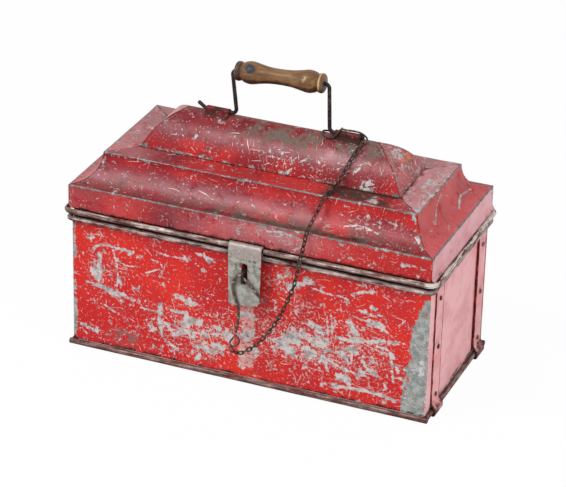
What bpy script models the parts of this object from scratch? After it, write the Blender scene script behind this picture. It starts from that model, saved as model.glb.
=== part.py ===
"""A sheet-steel toolbox with a stepped lid, a wire bail, and a hasp that a chained hook pins shut.

Lengths are in metres. +Z is up, -Y is the front and X runs along the box. The origin is on the surface
that the box stands on, under its middle. Each physical piece is one named object.
"""

import math

import bmesh
import bpy
import numpy as np
from mathutils import Matrix, Vector

# Sheet metal and clearances
SHEET = 0.0008
GAP = 0.0003
BEND_RADIUS = 0.0016

# Body
BODY_LENGTH = 0.354
BODY_DEPTH = 0.159
BODY_HEIGHT = 0.128
UPSTAND = 0.0074
FRONT_FLANGE = 0.0155
BACK_FLANGE = 0.0048
BASE_BEAD_RADIUS = 0.0028
BASE_BEAD_PROUD = 0.0004
RIM_BEAD_RADIUS = 0.00235
RIM_CORNER_RADIUS = 0.005

# Riveted straps on the ends
STRAP_WIDTH = 0.021
STRAP_THICKNESS = 0.0014
STRAP_FLARE_HEIGHT = 0.005
STRAP_TOE = 0.005
RIVET_HEAD_RADIUS = 0.0024
RIVET_HEAD_HEIGHT = 0.0013
RIVET_SHANK_RADIUS = 0.0011
RIVET_TAIL = 0.0006
RIVET_LOW_MARGIN = 0.0108
RIVET_HIGH_MARGIN = 0.0155

# Lid
LID_OVERHANG_X = 0.0016
LID_OVERHANG_Y = 0.0033
LID_STANDOFF = 0.00355
LID_BEAD_RADIUS = 0.0025
LID_BEAD_PROUD = 0.0016
LID_BEAD_END_PROUD = 0.0034
LID_CORNER_RADIUS = 0.0075
SKIRT_HEIGHT = 0.0262
SKIRT_FLARE = 0.0022
SKIRT_FLARE_HEIGHT = 0.004
LOWER_LEDGE = 0.002
COVE_RUN = 0.0223
COVE_RISE = 0.0279
UPPER_LEDGE_TUCK = 0.003
CROWN_END_LEDGE = 0.0267
CROWN_SIDE_LEDGE = 0.0247
CROWN_RISE = 0.0336
CROWN_TURN = math.radians(50)
RIDGE_ROUNDING = 0.0045

# Rear hinges
HINGE_SPACING = 0.2
HINGE_WIDTH = 0.036
HINGE_LEAF = 0.0012
HINGE_PIN_RADIUS = 0.0014
HINGE_HEIGHT = 0.0034
LEAF_ON_BODY = 0.026
LEAF_ON_LID = 0.014
CURL = math.radians(300)

# Hasp, staple and hook
HASP_X = 0.0012
HASP_WIDTH = 0.0324
HASP_TAPER = 0.001
HASP_PLATE = 0.0009
HASP_DROP = 0.055
HASP_SLANT = 0.005
HASP_CORNER = 0.0035
HASP_SIDE_GAP = 0.0011
HASP_CURL = math.radians(285)
HASP_WIRE_RADIUS = 0.0015
HASP_KNUCKLE_RADIUS = 0.0041
SLOT_WIDTH = 0.0058
SLOT_LENGTH = 0.0216
SLOT_DROP = 0.014
STAPLE_RADIUS = 0.0013
STAPLE_HEIGHT = 0.0108
STAPLE_DROP = 0.0219
STAPLE_CLINCH = 0.006
HOOK_RADIUS = 0.0014
END_LOOP_RADIUS = 0.0008

# Handle
BAIL_RADIUS = 0.0019
BAIL_BEND = 0.0042
BAIL_FOOT_LEFT = -0.0775
BAIL_FOOT_RIGHT = 0.0785
BAIL_TIP = (0.0066, 0.0046)
LEG_LEFT = (-0.0461, -0.0512)
LEG_RIGHT = (0.0457, 0.0440)
GRIP_LOW_RISE = 0.0428
GRIP_HIGH_RISE = 0.0464
GRIP_LENGTH = 0.086
GRIP_COLLAR_RADIUS = 0.0091
GRIP_NECK_RADIUS = 0.0083
GRIP_BULGE_RADIUS = 0.0106
GRIP_WAIST_RADIUS = 0.0073
GRIP_COLLAR_LENGTH = 0.0045
GRIP_BULGE_AT = 0.0142
TUNNEL_LEFT = (-0.0757, -0.0528)
TUNNEL_RIGHT = (0.0515, 0.0770)
TUNNEL_HALF_DEPTH = 0.0085
LINK_RADIUS = 0.0009
LINK_LIFT = 0.0015
LINK_SHANK_START = 0.0055
LINK_SHANK_STRAIGHT = 0.005
LINK_SHANK_END = 0.002
LINK_SHANK_Y = -0.0016
LINK_TAIL_Y = 0.0024
LINK_KNEE = (0.0014, 0.0012)
LINK_KNEE_REACH = 0.0052

# The long link's loop round the bail's right leg as (x past the leg, y, height over the crown)
LINK_LOOP = (
    (0.0070, 0.0062, 0.0029),
    (0.0026, 0.0080, 0.0021),
    (-0.0045, 0.0050, 0.0015),
    (-0.0062, 0.0000, 0.0015),
    (-0.0045, -0.0050, 0.0015),
    (0.0026, -0.0080, 0.0021),
    (0.0070, -0.0062, 0.0029),
)

# Chain, as the plain solid of its outer size
CHAIN_RADIUS = 0.0018
CHAIN_STEP = 0.0075

# Worked-out levels and half sizes
HALF_LENGTH = BODY_LENGTH / 2
HALF_DEPTH = BODY_DEPTH / 2
BASE_BEAD_Z = STRAP_THICKNESS + GAP + BASE_BEAD_RADIUS
PANEL_BOTTOM = BASE_BEAD_Z + BASE_BEAD_RADIUS + GAP
RIM_Z = PANEL_BOTTOM + BODY_HEIGHT
FLANGE_TOP = RIM_Z - RIM_BEAD_RADIUS - GAP
UPSTAND_TOP = RIM_Z + UPSTAND
END_PANEL_X = HALF_LENGTH - SHEET - GAP
RIM_OUT = GAP + RIM_BEAD_RADIUS
LID_HALF_LENGTH = HALF_LENGTH + LID_OVERHANG_X
LID_HALF_DEPTH = HALF_DEPTH + LID_OVERHANG_Y
LID_BEAD_Z = RIM_Z + RIM_BEAD_RADIUS + LID_STANDOFF + LID_BEAD_RADIUS
LID_BEAD_Y = LID_HALF_DEPTH + LID_BEAD_PROUD
LID_BEAD_X = LID_HALF_LENGTH + LID_BEAD_END_PROUD
SKIRT_BOTTOM = LID_BEAD_Z + LID_BEAD_RADIUS + GAP
LOWER_LEDGE_Z = LID_BEAD_Z + SKIRT_HEIGHT
UPPER_LEDGE_Z = LOWER_LEDGE_Z + COVE_RISE
UPPER_LEDGE_HALF_DEPTH = LID_HALF_DEPTH - LOWER_LEDGE - COVE_RUN
LID_MITRE = LID_HALF_LENGTH - LID_HALF_DEPTH
CROWN_HALF_DEPTH = UPPER_LEDGE_HALF_DEPTH - CROWN_SIDE_LEDGE
CROWN_MITRE = LID_MITRE + CROWN_SIDE_LEDGE - CROWN_END_LEDGE
CROWN_BASE_Z = UPPER_LEDGE_Z + GAP
HASP_FRONT_Y = -LID_BEAD_Y - HASP_KNUCKLE_RADIUS
HASP_HALF_GAP = HASP_WIDTH / 2 + HASP_SIDE_GAP
HOOK_Y = HASP_FRONT_Y - GAP - HOOK_RADIUS
STAPLE_BAR_Y = HOOK_Y - HOOK_RADIUS - GAP - STAPLE_RADIUS
STAPLE_Z = LID_BEAD_Z - STAPLE_DROP - STAPLE_HEIGHT / 2
KNUCKLE_RADIUS = HINGE_PIN_RADIUS + GAP + HINGE_LEAF
HINGE_Y = STAPLE_RADIUS - STAPLE_BAR_Y - KNUCKLE_RADIUS
HINGE_Z = RIM_Z + HINGE_HEIGHT

# Hook bends as (x, z) from the middle of the staple, from the tail's tip to the foot of the shank
HOOK_BENDS = (
    (0.0234, -0.0220),
    (0.0191, -0.0196),
    (0.0085, -0.0093),
    (0.0000, -0.0008),
    (-0.0034, 0.0012),
    (-0.0074, -0.0017),
    (-0.0100, -0.0082),
    (-0.0098, -0.0162),
    (-0.0068, -0.0260),
    (-0.0044, -0.0332),
    (-0.0042, -0.0422),
    (-0.0058, -0.0532),
    (-0.0066, -0.0585),
)

# End loop, a teardrop of (x, z) from the foot of the shank
END_LOOP = (
    (0.0000, -0.0026),
    (-0.0032, -0.0072),
    (-0.0056, -0.0112),
    (-0.0046, -0.0142),
    (-0.0014, -0.0150),
    (0.0026, -0.0118),
    (0.0036, -0.0078),
    (0.0016, -0.0044),
)

# The chain's way over the lid and down to the hook
CHAIN_OVER_LID = (
    (0.0806, -0.0076, 0.2312),
    (0.0790, -0.0126, 0.2286),
    (0.0766, -0.0203, 0.2230),
    (0.0736, -0.0286, 0.2140),
    (0.0712, -0.0355, 0.2064),
    (0.0695, -0.0450, 0.2015),
    (0.0682, -0.0535, 0.2007),
    (0.0666, -0.0606, 0.1996),
    (0.0639, -0.0696, 0.1890),
    (0.0612, -0.0782, 0.1795),
    (0.0596, -0.0847, 0.1727),
    (0.0587, -0.0868, 0.1650),
    (0.0573, -0.0890, 0.1545),
    (0.0560, -0.0903, 0.1465),
    (0.0556, -0.0904, 0.1444),
)
CHAIN_HANGING = (
    (0.0555, -0.0904, 0.1440),
    (0.0542, -0.0904, 0.1360),
    (0.0504, -0.0904, 0.1180),
    (0.0462, -0.0904, 0.1060),
    (0.0383, -0.0904, 0.0862),
    (0.0274, -0.0904, 0.0665),
    (0.0163, -0.0904, 0.0515),
    (0.0069, -0.0904, 0.0424),
    (-0.0016, -0.0904, 0.0374),
    (-0.0074, -0.0904, 0.0378),
    (-0.0106, -0.0904, 0.0414),
)


def finish(name, colour, roughness, metallic):
    """A Principled material."""
    mat = bpy.data.materials.new(name)
    mat.use_nodes = True
    shader = mat.node_tree.nodes["Principled BSDF"]
    shader.inputs["Base Color"].default_value = (*colour, 1)
    shader.inputs["Roughness"].default_value = roughness
    shader.inputs["Metallic"].default_value = metallic
    return mat


def pivot(name, place, parent=None):
    """An empty on a joint's axis, at a place in world coordinates."""
    empty = bpy.data.objects.new(name, None)
    bpy.context.collection.objects.link(empty)
    empty["place"] = list(place)
    empty.location = Vector(place) - (Vector(parent["place"]) if parent else Vector())
    empty.parent = parent
    return empty


def carry(obj, parent):
    """Hang an object, made in world coordinates, on a joint's empty."""
    if parent:
        obj.parent = parent
        obj.matrix_parent_inverse = Matrix.Translation(-Vector(parent["place"]))
    return obj


def add(name, bm, mat, parent=None, smooth=False):
    """Make an object from a bmesh in world coordinates, with its faces pointing out."""
    bmesh.ops.recalc_face_normals(bm, faces=bm.faces)
    mesh = bpy.data.meshes.new(name)
    bm.to_mesh(mesh)
    bm.free()
    if smooth:
        mesh.shade_smooth()
        mesh.set_sharp_from_angle(angle=math.radians(35))
    mesh.materials.append(mat)
    obj = bpy.data.objects.new(name, mesh)
    bpy.context.collection.objects.link(obj)
    return carry(obj, parent)


def prism(outline, axis, low, high):
    """A bmesh of a flat outline, given in the other two axes, extruded along a world axis."""
    bm = bmesh.new()
    others = [i for i in range(3) if i != axis]
    ring = []
    for point in outline:
        place = [0.0, 0.0, 0.0]
        place[others[0]], place[others[1]], place[axis] = point[0], point[1], low
        ring.append(bm.verts.new(place))
    face = bm.faces.new(ring)
    grown = bmesh.ops.extrude_face_region(bm, geom=[face])
    shift = Vector()
    shift[axis] = high - low
    moved = [v for v in grown["geom"] if isinstance(v, bmesh.types.BMVert)]
    bmesh.ops.translate(bm, verts=moved, vec=shift)
    return bm


def box(low, high):
    """A bmesh block between two corners."""
    plan = ((low[0], low[1]), (high[0], low[1]), (high[0], high[1]), (low[0], high[1]))
    return prism(plan, 2, low[2], high[2])


def rod(radius, frame, length, sides=12):
    """A bmesh cylinder from a frame's origin along its Z axis."""
    bm = bmesh.new()
    bmesh.ops.create_cone(bm, cap_ends=True, segments=sides, radius1=radius, radius2=radius, depth=length,
                          matrix=frame @ Matrix.Translation((0, 0, length / 2)))
    return bm


def cut(obj, cutters):
    """Subtract each cutter, which stays as a hidden guide."""
    for number, bm in enumerate(cutters):
        tool = add(f"{obj.name}_cutter_{number}", bm, obj.data.materials[0])
        tool.hide_render = True
        tool.display_type = "WIRE"
        modifier = obj.modifiers.new(f"cut_{number}", "BOOLEAN")
        modifier.operation = "DIFFERENCE"
        modifier.object = tool


def rounded(points, radius, steps=4):
    """A polyline with each inner corner replaced by an arc of the given radius."""
    points = [np.array(p, float) for p in points]
    line = [points[0]]
    for before, corner, after in zip(points, points[1:], points[2:]):
        back = (before - corner) / np.linalg.norm(before - corner)
        ahead = (after - corner) / np.linalg.norm(after - corner)
        half = math.acos(max(-1.0, min(1.0, float(back @ ahead)))) / 2
        middle = (back + ahead) / np.linalg.norm(back + ahead)
        centre = corner + middle * radius / math.sin(half)
        start = corner + back * radius / math.tan(half) - centre
        end = corner + ahead * radius / math.tan(half) - centre
        sweep = math.pi - 2 * half
        for i in range(steps + 1):
            t = i / steps
            turned_to = start * math.sin((1 - t) * sweep) + end * math.sin(t * sweep)
            line.append(centre + turned_to / math.sin(sweep))
    line.append(points[-1])
    return line


def smooth_line(points, step, closed=False):
    """Points about a step apart on the Catmull-Rom curve through a route's points."""
    p = np.array(points, float)
    if closed:
        p = np.vstack([p[-1], p, p[:2]])
    else:
        p = np.vstack([2 * p[0] - p[1], p, 2 * p[-1] - p[-2]])
    line = []
    for a, b, c, d in zip(p, p[1:], p[2:], p[3:]):
        count = max(1, round(np.linalg.norm(c - b) / step))
        for t in np.arange(count) / count:
            line.append(0.5 * (2 * b + (c - a) * t + (2 * a - 5 * b + 4 * c - d) * t**2
                               + (3 * b - a - 3 * c + d) * t**3))
    if not closed:
        line.append(p[-2])
    return line


def wire(name, line, radius, mat, parent=None, closed=False, resolution=2):
    """A round wire: a poly curve with a round bevel and filled ends."""
    curve = bpy.data.curves.new(name, "CURVE")
    curve.dimensions = "3D"
    curve.bevel_depth = radius
    curve.bevel_resolution = resolution
    curve.use_fill_caps = True
    spline = curve.splines.new("POLY")
    spline.points.add(len(line) - 1)
    for knot, place in zip(spline.points, line):
        knot.co = (*place, 1)
    spline.use_cyclic_u = closed
    spline.use_smooth = True
    curve.materials.append(mat)
    obj = bpy.data.objects.new(name, curve)
    bpy.context.collection.objects.link(obj)
    return carry(obj, parent)


def turned(name, profile, mat, frame, parent=None, steps=16, closed=False):
    """A turned solid: a profile of (radius, along) spun about the X axis, then placed by a matrix."""
    bm = bmesh.new()
    verts = [bm.verts.new((along, 0, radius)) for radius, along in profile]
    edges = [bm.edges.new(pair) for pair in zip(verts, verts[1:])]
    if closed:
        edges.append(bm.edges.new((verts[-1], verts[0])))
    bmesh.ops.spin(bm, geom=verts + edges, cent=(0, 0, 0), axis=(1, 0, 0), angle=math.tau, steps=steps)
    bmesh.ops.remove_doubles(bm, verts=bm.verts, dist=1e-6)
    bmesh.ops.transform(bm, matrix=frame, verts=bm.verts)
    return add(name, bm, mat, parent, smooth=True)


def offset_line(line, distance):
    """A flat polyline moved sideways, to its left, by a distance."""
    p = np.array(line, float)
    along = np.diff(p, axis=0)
    side = np.stack([-along[:, 1], along[:, 0]], axis=1) / np.linalg.norm(along, axis=1)[:, None]
    before, after = np.vstack([side[:1], side]), np.vstack([side, side[-1:]])
    joint = before + after
    joint /= np.linalg.norm(joint, axis=1)[:, None]
    return p + joint * (distance / (joint * before).sum(1))[:, None]


def bent_sheet(line, thickness):
    """The closed outline of a bent sheet whose middle follows a flat polyline."""
    return list(offset_line(line, thickness / 2)) + list(offset_line(line, -thickness / 2))[::-1]


def mitred_sheet(name, outer, inner, half_length, turn, mat, parent):
    """A sheet between two profiles of (distance from the middle, height), with ends cut to a mitre.

    Both profiles have as many points. The sheet faces the front and is then turned about Z.
    """
    bm = bmesh.new()
    rows = []
    for profile in (outer, inner):
        for side in (-1, 1):
            rows.append([bm.verts.new((side * half_length(n), -n, z)) for n, z in profile])
    for i in range(len(outer) - 1):
        for a, b in ((0, 1), (2, 3), (0, 2), (1, 3)):
            bm.faces.new((rows[a][i], rows[a][i + 1], rows[b][i + 1], rows[b][i]))
    for i in (0, -1):
        bm.faces.new((rows[0][i], rows[1][i], rows[3][i], rows[2][i]))
    bmesh.ops.rotate(bm, verts=bm.verts, cent=(0, 0, 0), matrix=Matrix.Rotation(turn, 3, "Z"))
    return add(name, bm, mat, parent, smooth=True)


def crown_height(distance):
    """Height of the crown's outer face at a distance from its middle line.

    Each side is an arc that turns by CROWN_TURN from the base to the ridge, and the ridge is rounded.
    """
    chord = math.hypot(CROWN_HALF_DEPTH, CROWN_RISE)
    radius = chord / (2 * math.sin(CROWN_TURN / 2))
    base_angle = math.atan2(CROWN_RISE, CROWN_HALF_DEPTH) + CROWN_TURN / 2
    centre_n = CROWN_HALF_DEPTH - radius * math.sin(base_angle)
    centre_z = CROWN_BASE_Z - radius * math.cos(base_angle)
    n = max(abs(distance), RIDGE_ROUNDING)
    height = centre_z + math.sqrt(radius**2 - (n - centre_n) ** 2)
    slope = (n - centre_n) / math.sqrt(radius**2 - (n - centre_n) ** 2)
    if abs(distance) < RIDGE_ROUNDING:
        height += slope * (RIDGE_ROUNDING**2 - distance**2) / (2 * RIDGE_ROUNDING)
    return height


def make_panels(mats):
    """The five panels of the body."""
    panel = mats["red paint"]
    mid_x, mid_y = HALF_LENGTH - SHEET / 2, HALF_DEPTH - SHEET / 2
    for name, flange, side in (("front_panel", FRONT_FLANGE, -1), ("back_panel", BACK_FLANGE, 1)):
        path = [(-mid_x, side * (HALF_DEPTH - flange)), (-mid_x, side * mid_y), (mid_x, side * mid_y),
                (mid_x, side * (HALF_DEPTH - flange))]
        plan = bent_sheet(rounded(path, BEND_RADIUS, 3), SHEET)
        sheet = add(name, prism(plan, 2, PANEL_BOTTOM, UPSTAND_TOP), panel)
        reach = sorted((side * (HALF_DEPTH + SHEET), side * (HALF_DEPTH - flange - SHEET)))
        notch = END_PANEL_X - SHEET - GAP
        cutters = [box((low, reach[0], FLANGE_TOP), (high, reach[1], UPSTAND_TOP + SHEET))
                   for low, high in ((-LID_HALF_LENGTH, -notch), (notch, LID_HALF_LENGTH))]
        if side < 0:
            for end in (-1, 1):
                drill = Matrix.Translation((HASP_X, 0, STAPLE_Z + end * STAPLE_HEIGHT / 2))
                drill = drill @ Matrix.Rotation(math.pi / 2, 4, "X")
                cutters.append(rod(STAPLE_RADIUS + GAP, drill, HALF_DEPTH))
        cut(sheet, cutters)
    inside = HALF_DEPTH - SHEET - GAP
    reach = HALF_DEPTH - SHEET / 2 - BEND_RADIUS
    for name, side in (("left_end_panel", -1), ("right_end_panel", 1)):
        low, high = sorted((side * (END_PANEL_X - SHEET), side * END_PANEL_X))
        sheet = add(name, box((low, -reach, PANEL_BOTTOM), (high, reach, UPSTAND_TOP)), panel)
        cut(sheet, [rivet_hole(side, y, z) for y in strap_middles() for z in rivet_levels()])
    across = END_PANEL_X - SHEET - GAP
    floor = PANEL_BOTTOM + GAP
    add("bottom_panel", box((-across, -inside, floor), (across, inside, floor + SHEET)), mats["bare steel"])


def ring_route(half_x, half_y, z, corner, steps=5):
    """A closed level route round a rectangle with round corners."""
    route = []
    for sx, sy, start in ((1, -1, 270), (1, 1, 0), (-1, 1, 90), (-1, -1, 180)):
        for i in range(steps + 1):
            angle = math.radians(start + 90 * i / steps)
            route.append((sx * (half_x - corner) + corner * math.cos(angle),
                          sy * (half_y - corner) + corner * math.sin(angle), z))
    return route


def make_beads(mats):
    """The rolled edges of the body: one round the rim and four at the foot."""
    steel = mats["bare steel"]
    wire("rim_bead", ring_route(HALF_LENGTH + RIM_OUT, HALF_DEPTH + RIM_OUT, RIM_Z, RIM_CORNER_RADIUS),
         RIM_BEAD_RADIUS, steel, closed=True)
    x, y = HALF_LENGTH + BASE_BEAD_PROUD, HALF_DEPTH + BASE_BEAD_PROUD
    end_reach = y - BASE_BEAD_RADIUS - GAP
    for name, side in (("base_bead_front", -1), ("base_bead_back", 1)):
        reach = x + BASE_BEAD_RADIUS
        ends = [(-reach, side * y, BASE_BEAD_Z), (reach, side * y, BASE_BEAD_Z)]
        wire(name, ends, BASE_BEAD_RADIUS, steel)
    for name, side in (("base_bead_left", -1), ("base_bead_right", 1)):
        ends = [(side * x, -end_reach, BASE_BEAD_Z), (side * x, end_reach, BASE_BEAD_Z)]
        wire(name, ends, BASE_BEAD_RADIUS, steel)


def strap_middles():
    """Where the straps' middle lines are: each stands beside the edge of its panel's flange."""
    front = -HALF_DEPTH + FRONT_FLANGE + GAP + STRAP_WIDTH / 2
    back = HALF_DEPTH - BACK_FLANGE - GAP - STRAP_WIDTH / 2
    return front, back


def rivet_levels():
    """Heights of a strap's three rivets."""
    low, high = PANEL_BOTTOM + RIVET_LOW_MARGIN, FLANGE_TOP - RIVET_HIGH_MARGIN
    return low, (low + high) / 2, high


def rivet_hole(side, y, z):
    """A cutter for a rivet's shank through an end panel and its strap."""
    start = Matrix.Translation((side * (END_PANEL_X - 3 * SHEET), y, z))
    return rod(RIVET_SHANK_RADIUS + GAP, start @ Matrix.Rotation(side * math.pi / 2, 4, "Y"), 0.01, 8)


def make_straps(mats):
    """Two straps on each end, which flare over the base bead and hook under it, and their rivets."""
    inner = END_PANEL_X + GAP
    middle = inner + STRAP_THICKNESS / 2
    outside = HALF_LENGTH + BASE_BEAD_PROUD + BASE_BEAD_RADIUS + GAP + STRAP_THICKNESS / 2
    flare = BASE_BEAD_Z + BASE_BEAD_RADIUS + STRAP_FLARE_HEIGHT
    path = [(middle, FLANGE_TOP), (middle, flare), (outside, BASE_BEAD_Z + BASE_BEAD_RADIUS / 2),
            (outside, STRAP_THICKNESS / 2), (outside - STRAP_TOE, STRAP_THICKNESS / 2)]
    outline = bent_sheet(rounded(path, BEND_RADIUS, 3), STRAP_THICKNESS)
    head = [(RIVET_HEAD_RADIUS * math.cos(a), RIVET_HEAD_HEIGHT * math.sin(a))
            for a in np.linspace(math.pi / 2, 0, 4)]
    for end, side in (("left", -1), ("right", 1)):
        for place, y in zip(("front", "back"), strap_middles()):
            shape = [(side * x, z) for x, z in outline]
            strap = add(f"{end}_{place}_strap", prism(shape, 1, y - STRAP_WIDTH / 2, y + STRAP_WIDTH / 2),
                        mats["red paint"])
            cut(strap, [rivet_hole(side, y, z) for z in rivet_levels()])
            for level, z in zip(("low", "mid", "high"), rivet_levels()):
                grip = STRAP_THICKNESS + 3 * GAP + SHEET
                profile = head + [(RIVET_SHANK_RADIUS, 0), (RIVET_SHANK_RADIUS, -grip),
                                  (RIVET_HEAD_RADIUS, -grip), (0, -grip - RIVET_TAIL)]
                seat = Matrix.Translation((side * (inner + STRAP_THICKNESS + GAP), y, z))
                turned(f"{end}_{place}_rivet_{level}", profile, mats["dark steel"],
                       seat @ Matrix.Rotation(0 if side > 0 else math.pi, 4, "Z"), steps=8)


def make_staple(mats):
    """The wire staple through the front panel, with its ends turned down behind."""
    inside = -HALF_DEPTH + SHEET + GAP + 2 * STAPLE_RADIUS
    top, low = STAPLE_Z + STAPLE_HEIGHT / 2, STAPLE_Z - STAPLE_HEIGHT / 2
    path = [(HASP_X, inside, top + STAPLE_CLINCH), (HASP_X, inside, top), (HASP_X, STAPLE_BAR_Y, top),
            (HASP_X, STAPLE_BAR_Y, low), (HASP_X, inside, low), (HASP_X, inside, low - STAPLE_CLINCH)]
    wire("staple", rounded(path, 2 * STAPLE_RADIUS, 4), STAPLE_RADIUS, mats["dark steel"])


def hinge_leaf(on_lid):
    """The outline of a hinge leaf in (y, z), from its plate to the end of its knuckle."""
    radius = KNUCKLE_RADIUS - HINGE_LEAF / 2
    stem = HINGE_Y - radius
    if on_lid:
        plate = LID_HALF_DEPTH + GAP + HINGE_LEAF / 2
        over = LID_BEAD_RADIUS + GAP + HINGE_LEAF / 2
        line = [(plate, LID_BEAD_Z + over + LEAF_ON_LID), (plate, LID_BEAD_Z + over + HINGE_LEAF / 2)]
        bend = over + GAP / 2
        for angle in np.radians((68, 45, 22)):
            line.append((LID_BEAD_Y + bend * math.cos(angle), LID_BEAD_Z + bend * math.sin(angle)))
        line += [(stem, LID_BEAD_Z), (stem, HINGE_Z)]
        turn = 1
    else:
        plate = HALF_DEPTH + GAP + HINGE_LEAF / 2
        under = RIM_Z - RIM_BEAD_RADIUS - 2 * RIM_OUT
        bends = [(plate, under - LEAF_ON_BODY), (plate, under), (stem, RIM_Z), (stem, HINGE_Z)]
        line = rounded(bends, BEND_RADIUS, 3)
        turn = -1
    for i in range(1, 13):
        angle = math.pi + turn * CURL * i / 12
        line.append((HINGE_Y + radius * math.cos(angle), HINGE_Z + radius * math.sin(angle)))
    return bent_sheet(line, HINGE_LEAF)


def make_hinges(mats, lid_axis):
    """Two rear hinges. The body's leaf has the outer knuckles and the lid's leaf the middle one."""
    steel = mats["dark steel"]
    third = HINGE_WIDTH / 6
    clear = KNUCKLE_RADIUS + 2 * GAP
    for name, middle in (("left", -HINGE_SPACING / 2), ("right", HINGE_SPACING / 2)):
        spans = {False: [(middle - third - GAP, middle + third + GAP)],
                 True: [(middle - HINGE_WIDTH, middle - third + GAP),
                        (middle + third - GAP, middle + HINGE_WIDTH)]}
        for on_lid, leaf in ((False, "body"), (True, "lid")):
            shape = prism(hinge_leaf(on_lid), 0, middle - HINGE_WIDTH / 2, middle + HINGE_WIDTH / 2)
            plate = add(f"{name}_hinge_{leaf}_leaf", shape, steel, lid_axis if on_lid else None)
            below, above = HINGE_Z - clear, HINGE_Z + clear
            cut(plate, [box((low, HINGE_Y - clear, below), (high, HINGE_Y + clear, above))
                        for low, high in spans[on_lid]])
        wire(f"{name}_hinge_pin", [(middle - HINGE_WIDTH / 2, HINGE_Y, HINGE_Z),
                                   (middle + HINGE_WIDTH / 2, HINGE_Y, HINGE_Z)], HINGE_PIN_RADIUS, steel)


def make_mouldings(mats, lid_axis):
    """The lid's four mitred mouldings: skirt, lower ledge, cove and upper ledge.

    The end skirts flare out to the bead at their feet; the long ones are plain.
    """
    cove = [(UPPER_LEDGE_HALF_DEPTH + COVE_RUN * (1 - math.sin(t)), UPPER_LEDGE_Z - COVE_RISE * math.cos(t))
            for t in np.linspace(0, math.pi / 2, 9)]
    above = [(LID_HALF_DEPTH, SKIRT_BOTTOM + SKIRT_FLARE_HEIGHT), (LID_HALF_DEPTH, LOWER_LEDGE_Z)] + cove
    above.append((CROWN_HALF_DEPTH - UPPER_LEDGE_TUCK, UPPER_LEDGE_Z))
    slack = GAP / math.sqrt(2)
    for number, side in enumerate(("front", "right", "back", "left")):
        on_long_side = side in ("front", "back")
        flare, run = (0, LID_MITRE) if on_long_side else (SKIRT_FLARE, 0)
        out = LID_MITRE - run
        outer = [(n + out, z) for n, z in [(LID_HALF_DEPTH + flare, SKIRT_BOTTOM)] + above]
        sheet = mitred_sheet(f"lid_{side}_moulding", outer, offset_line(outer, SHEET),
                             lambda n, out=out, run=run: min(n - out, LID_HALF_DEPTH) + run - slack,
                             number * math.pi / 2, mats["lid paint"], lid_axis)
        if side == "front":
            notch_top = LID_BEAD_Z + HASP_KNUCKLE_RADIUS + 2 * GAP
            cut(sheet, [box((HASP_X - HASP_HALF_GAP, -LID_BEAD_Y, LID_BEAD_Z),
                            (HASP_X + HASP_HALF_GAP, -LID_HALF_DEPTH + 2 * SHEET, notch_top))])


def make_crown(mats, lid_axis):
    """The crown: a sheet bent over the ridge, and a hip mitred to each end."""
    spread = [CROWN_HALF_DEPTH * t for t in (1, 0.985, 0.95, 0.88, 0.78, 0.66, 0.52, 0.38, 0.25)]
    spread += [RIDGE_ROUNDING, RIDGE_ROUNDING / 2]
    half = [(n, crown_height(n)) for n in spread]
    outer = half + [(0, crown_height(0))] + [(-n, z) for n, z in half[::-1]]
    slack = GAP / math.sqrt(2)
    mitred_sheet("crown_cover", outer, offset_line(outer, SHEET), lambda n: abs(n) + CROWN_MITRE - slack, 0,
                 mats["lid paint"], lid_axis)
    for name, turn in (("crown_right_hip", math.pi / 2), ("crown_left_hip", -math.pi / 2)):
        outer = [(n + CROWN_MITRE, z) for n, z in half]
        mitred_sheet(name, outer, offset_line(outer, SHEET), lambda n: max(n - CROWN_MITRE - slack, SHEET),
                     turn, mats["lid paint"], lid_axis)


def make_lid_bead(mats, lid_axis):
    """The lid's rolled edge, broken at the hasp, and the core wire that shows there."""
    route = ring_route(LID_BEAD_X, LID_BEAD_Y, LID_BEAD_Z, LID_CORNER_RADIUS)
    start, end = HASP_X + HASP_HALF_GAP, HASP_X - HASP_HALF_GAP
    line = [(start, -LID_BEAD_Y, LID_BEAD_Z)] + route + [(end, -LID_BEAD_Y, LID_BEAD_Z)]
    wire("lid_bead", line, LID_BEAD_RADIUS, mats["bare steel"], lid_axis)
    wire("hasp_wire", [(end + GAP, -LID_BEAD_Y, LID_BEAD_Z), (start - GAP, -LID_BEAD_Y, LID_BEAD_Z)],
         HASP_WIRE_RADIUS, mats["dark steel"], lid_axis)


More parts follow.
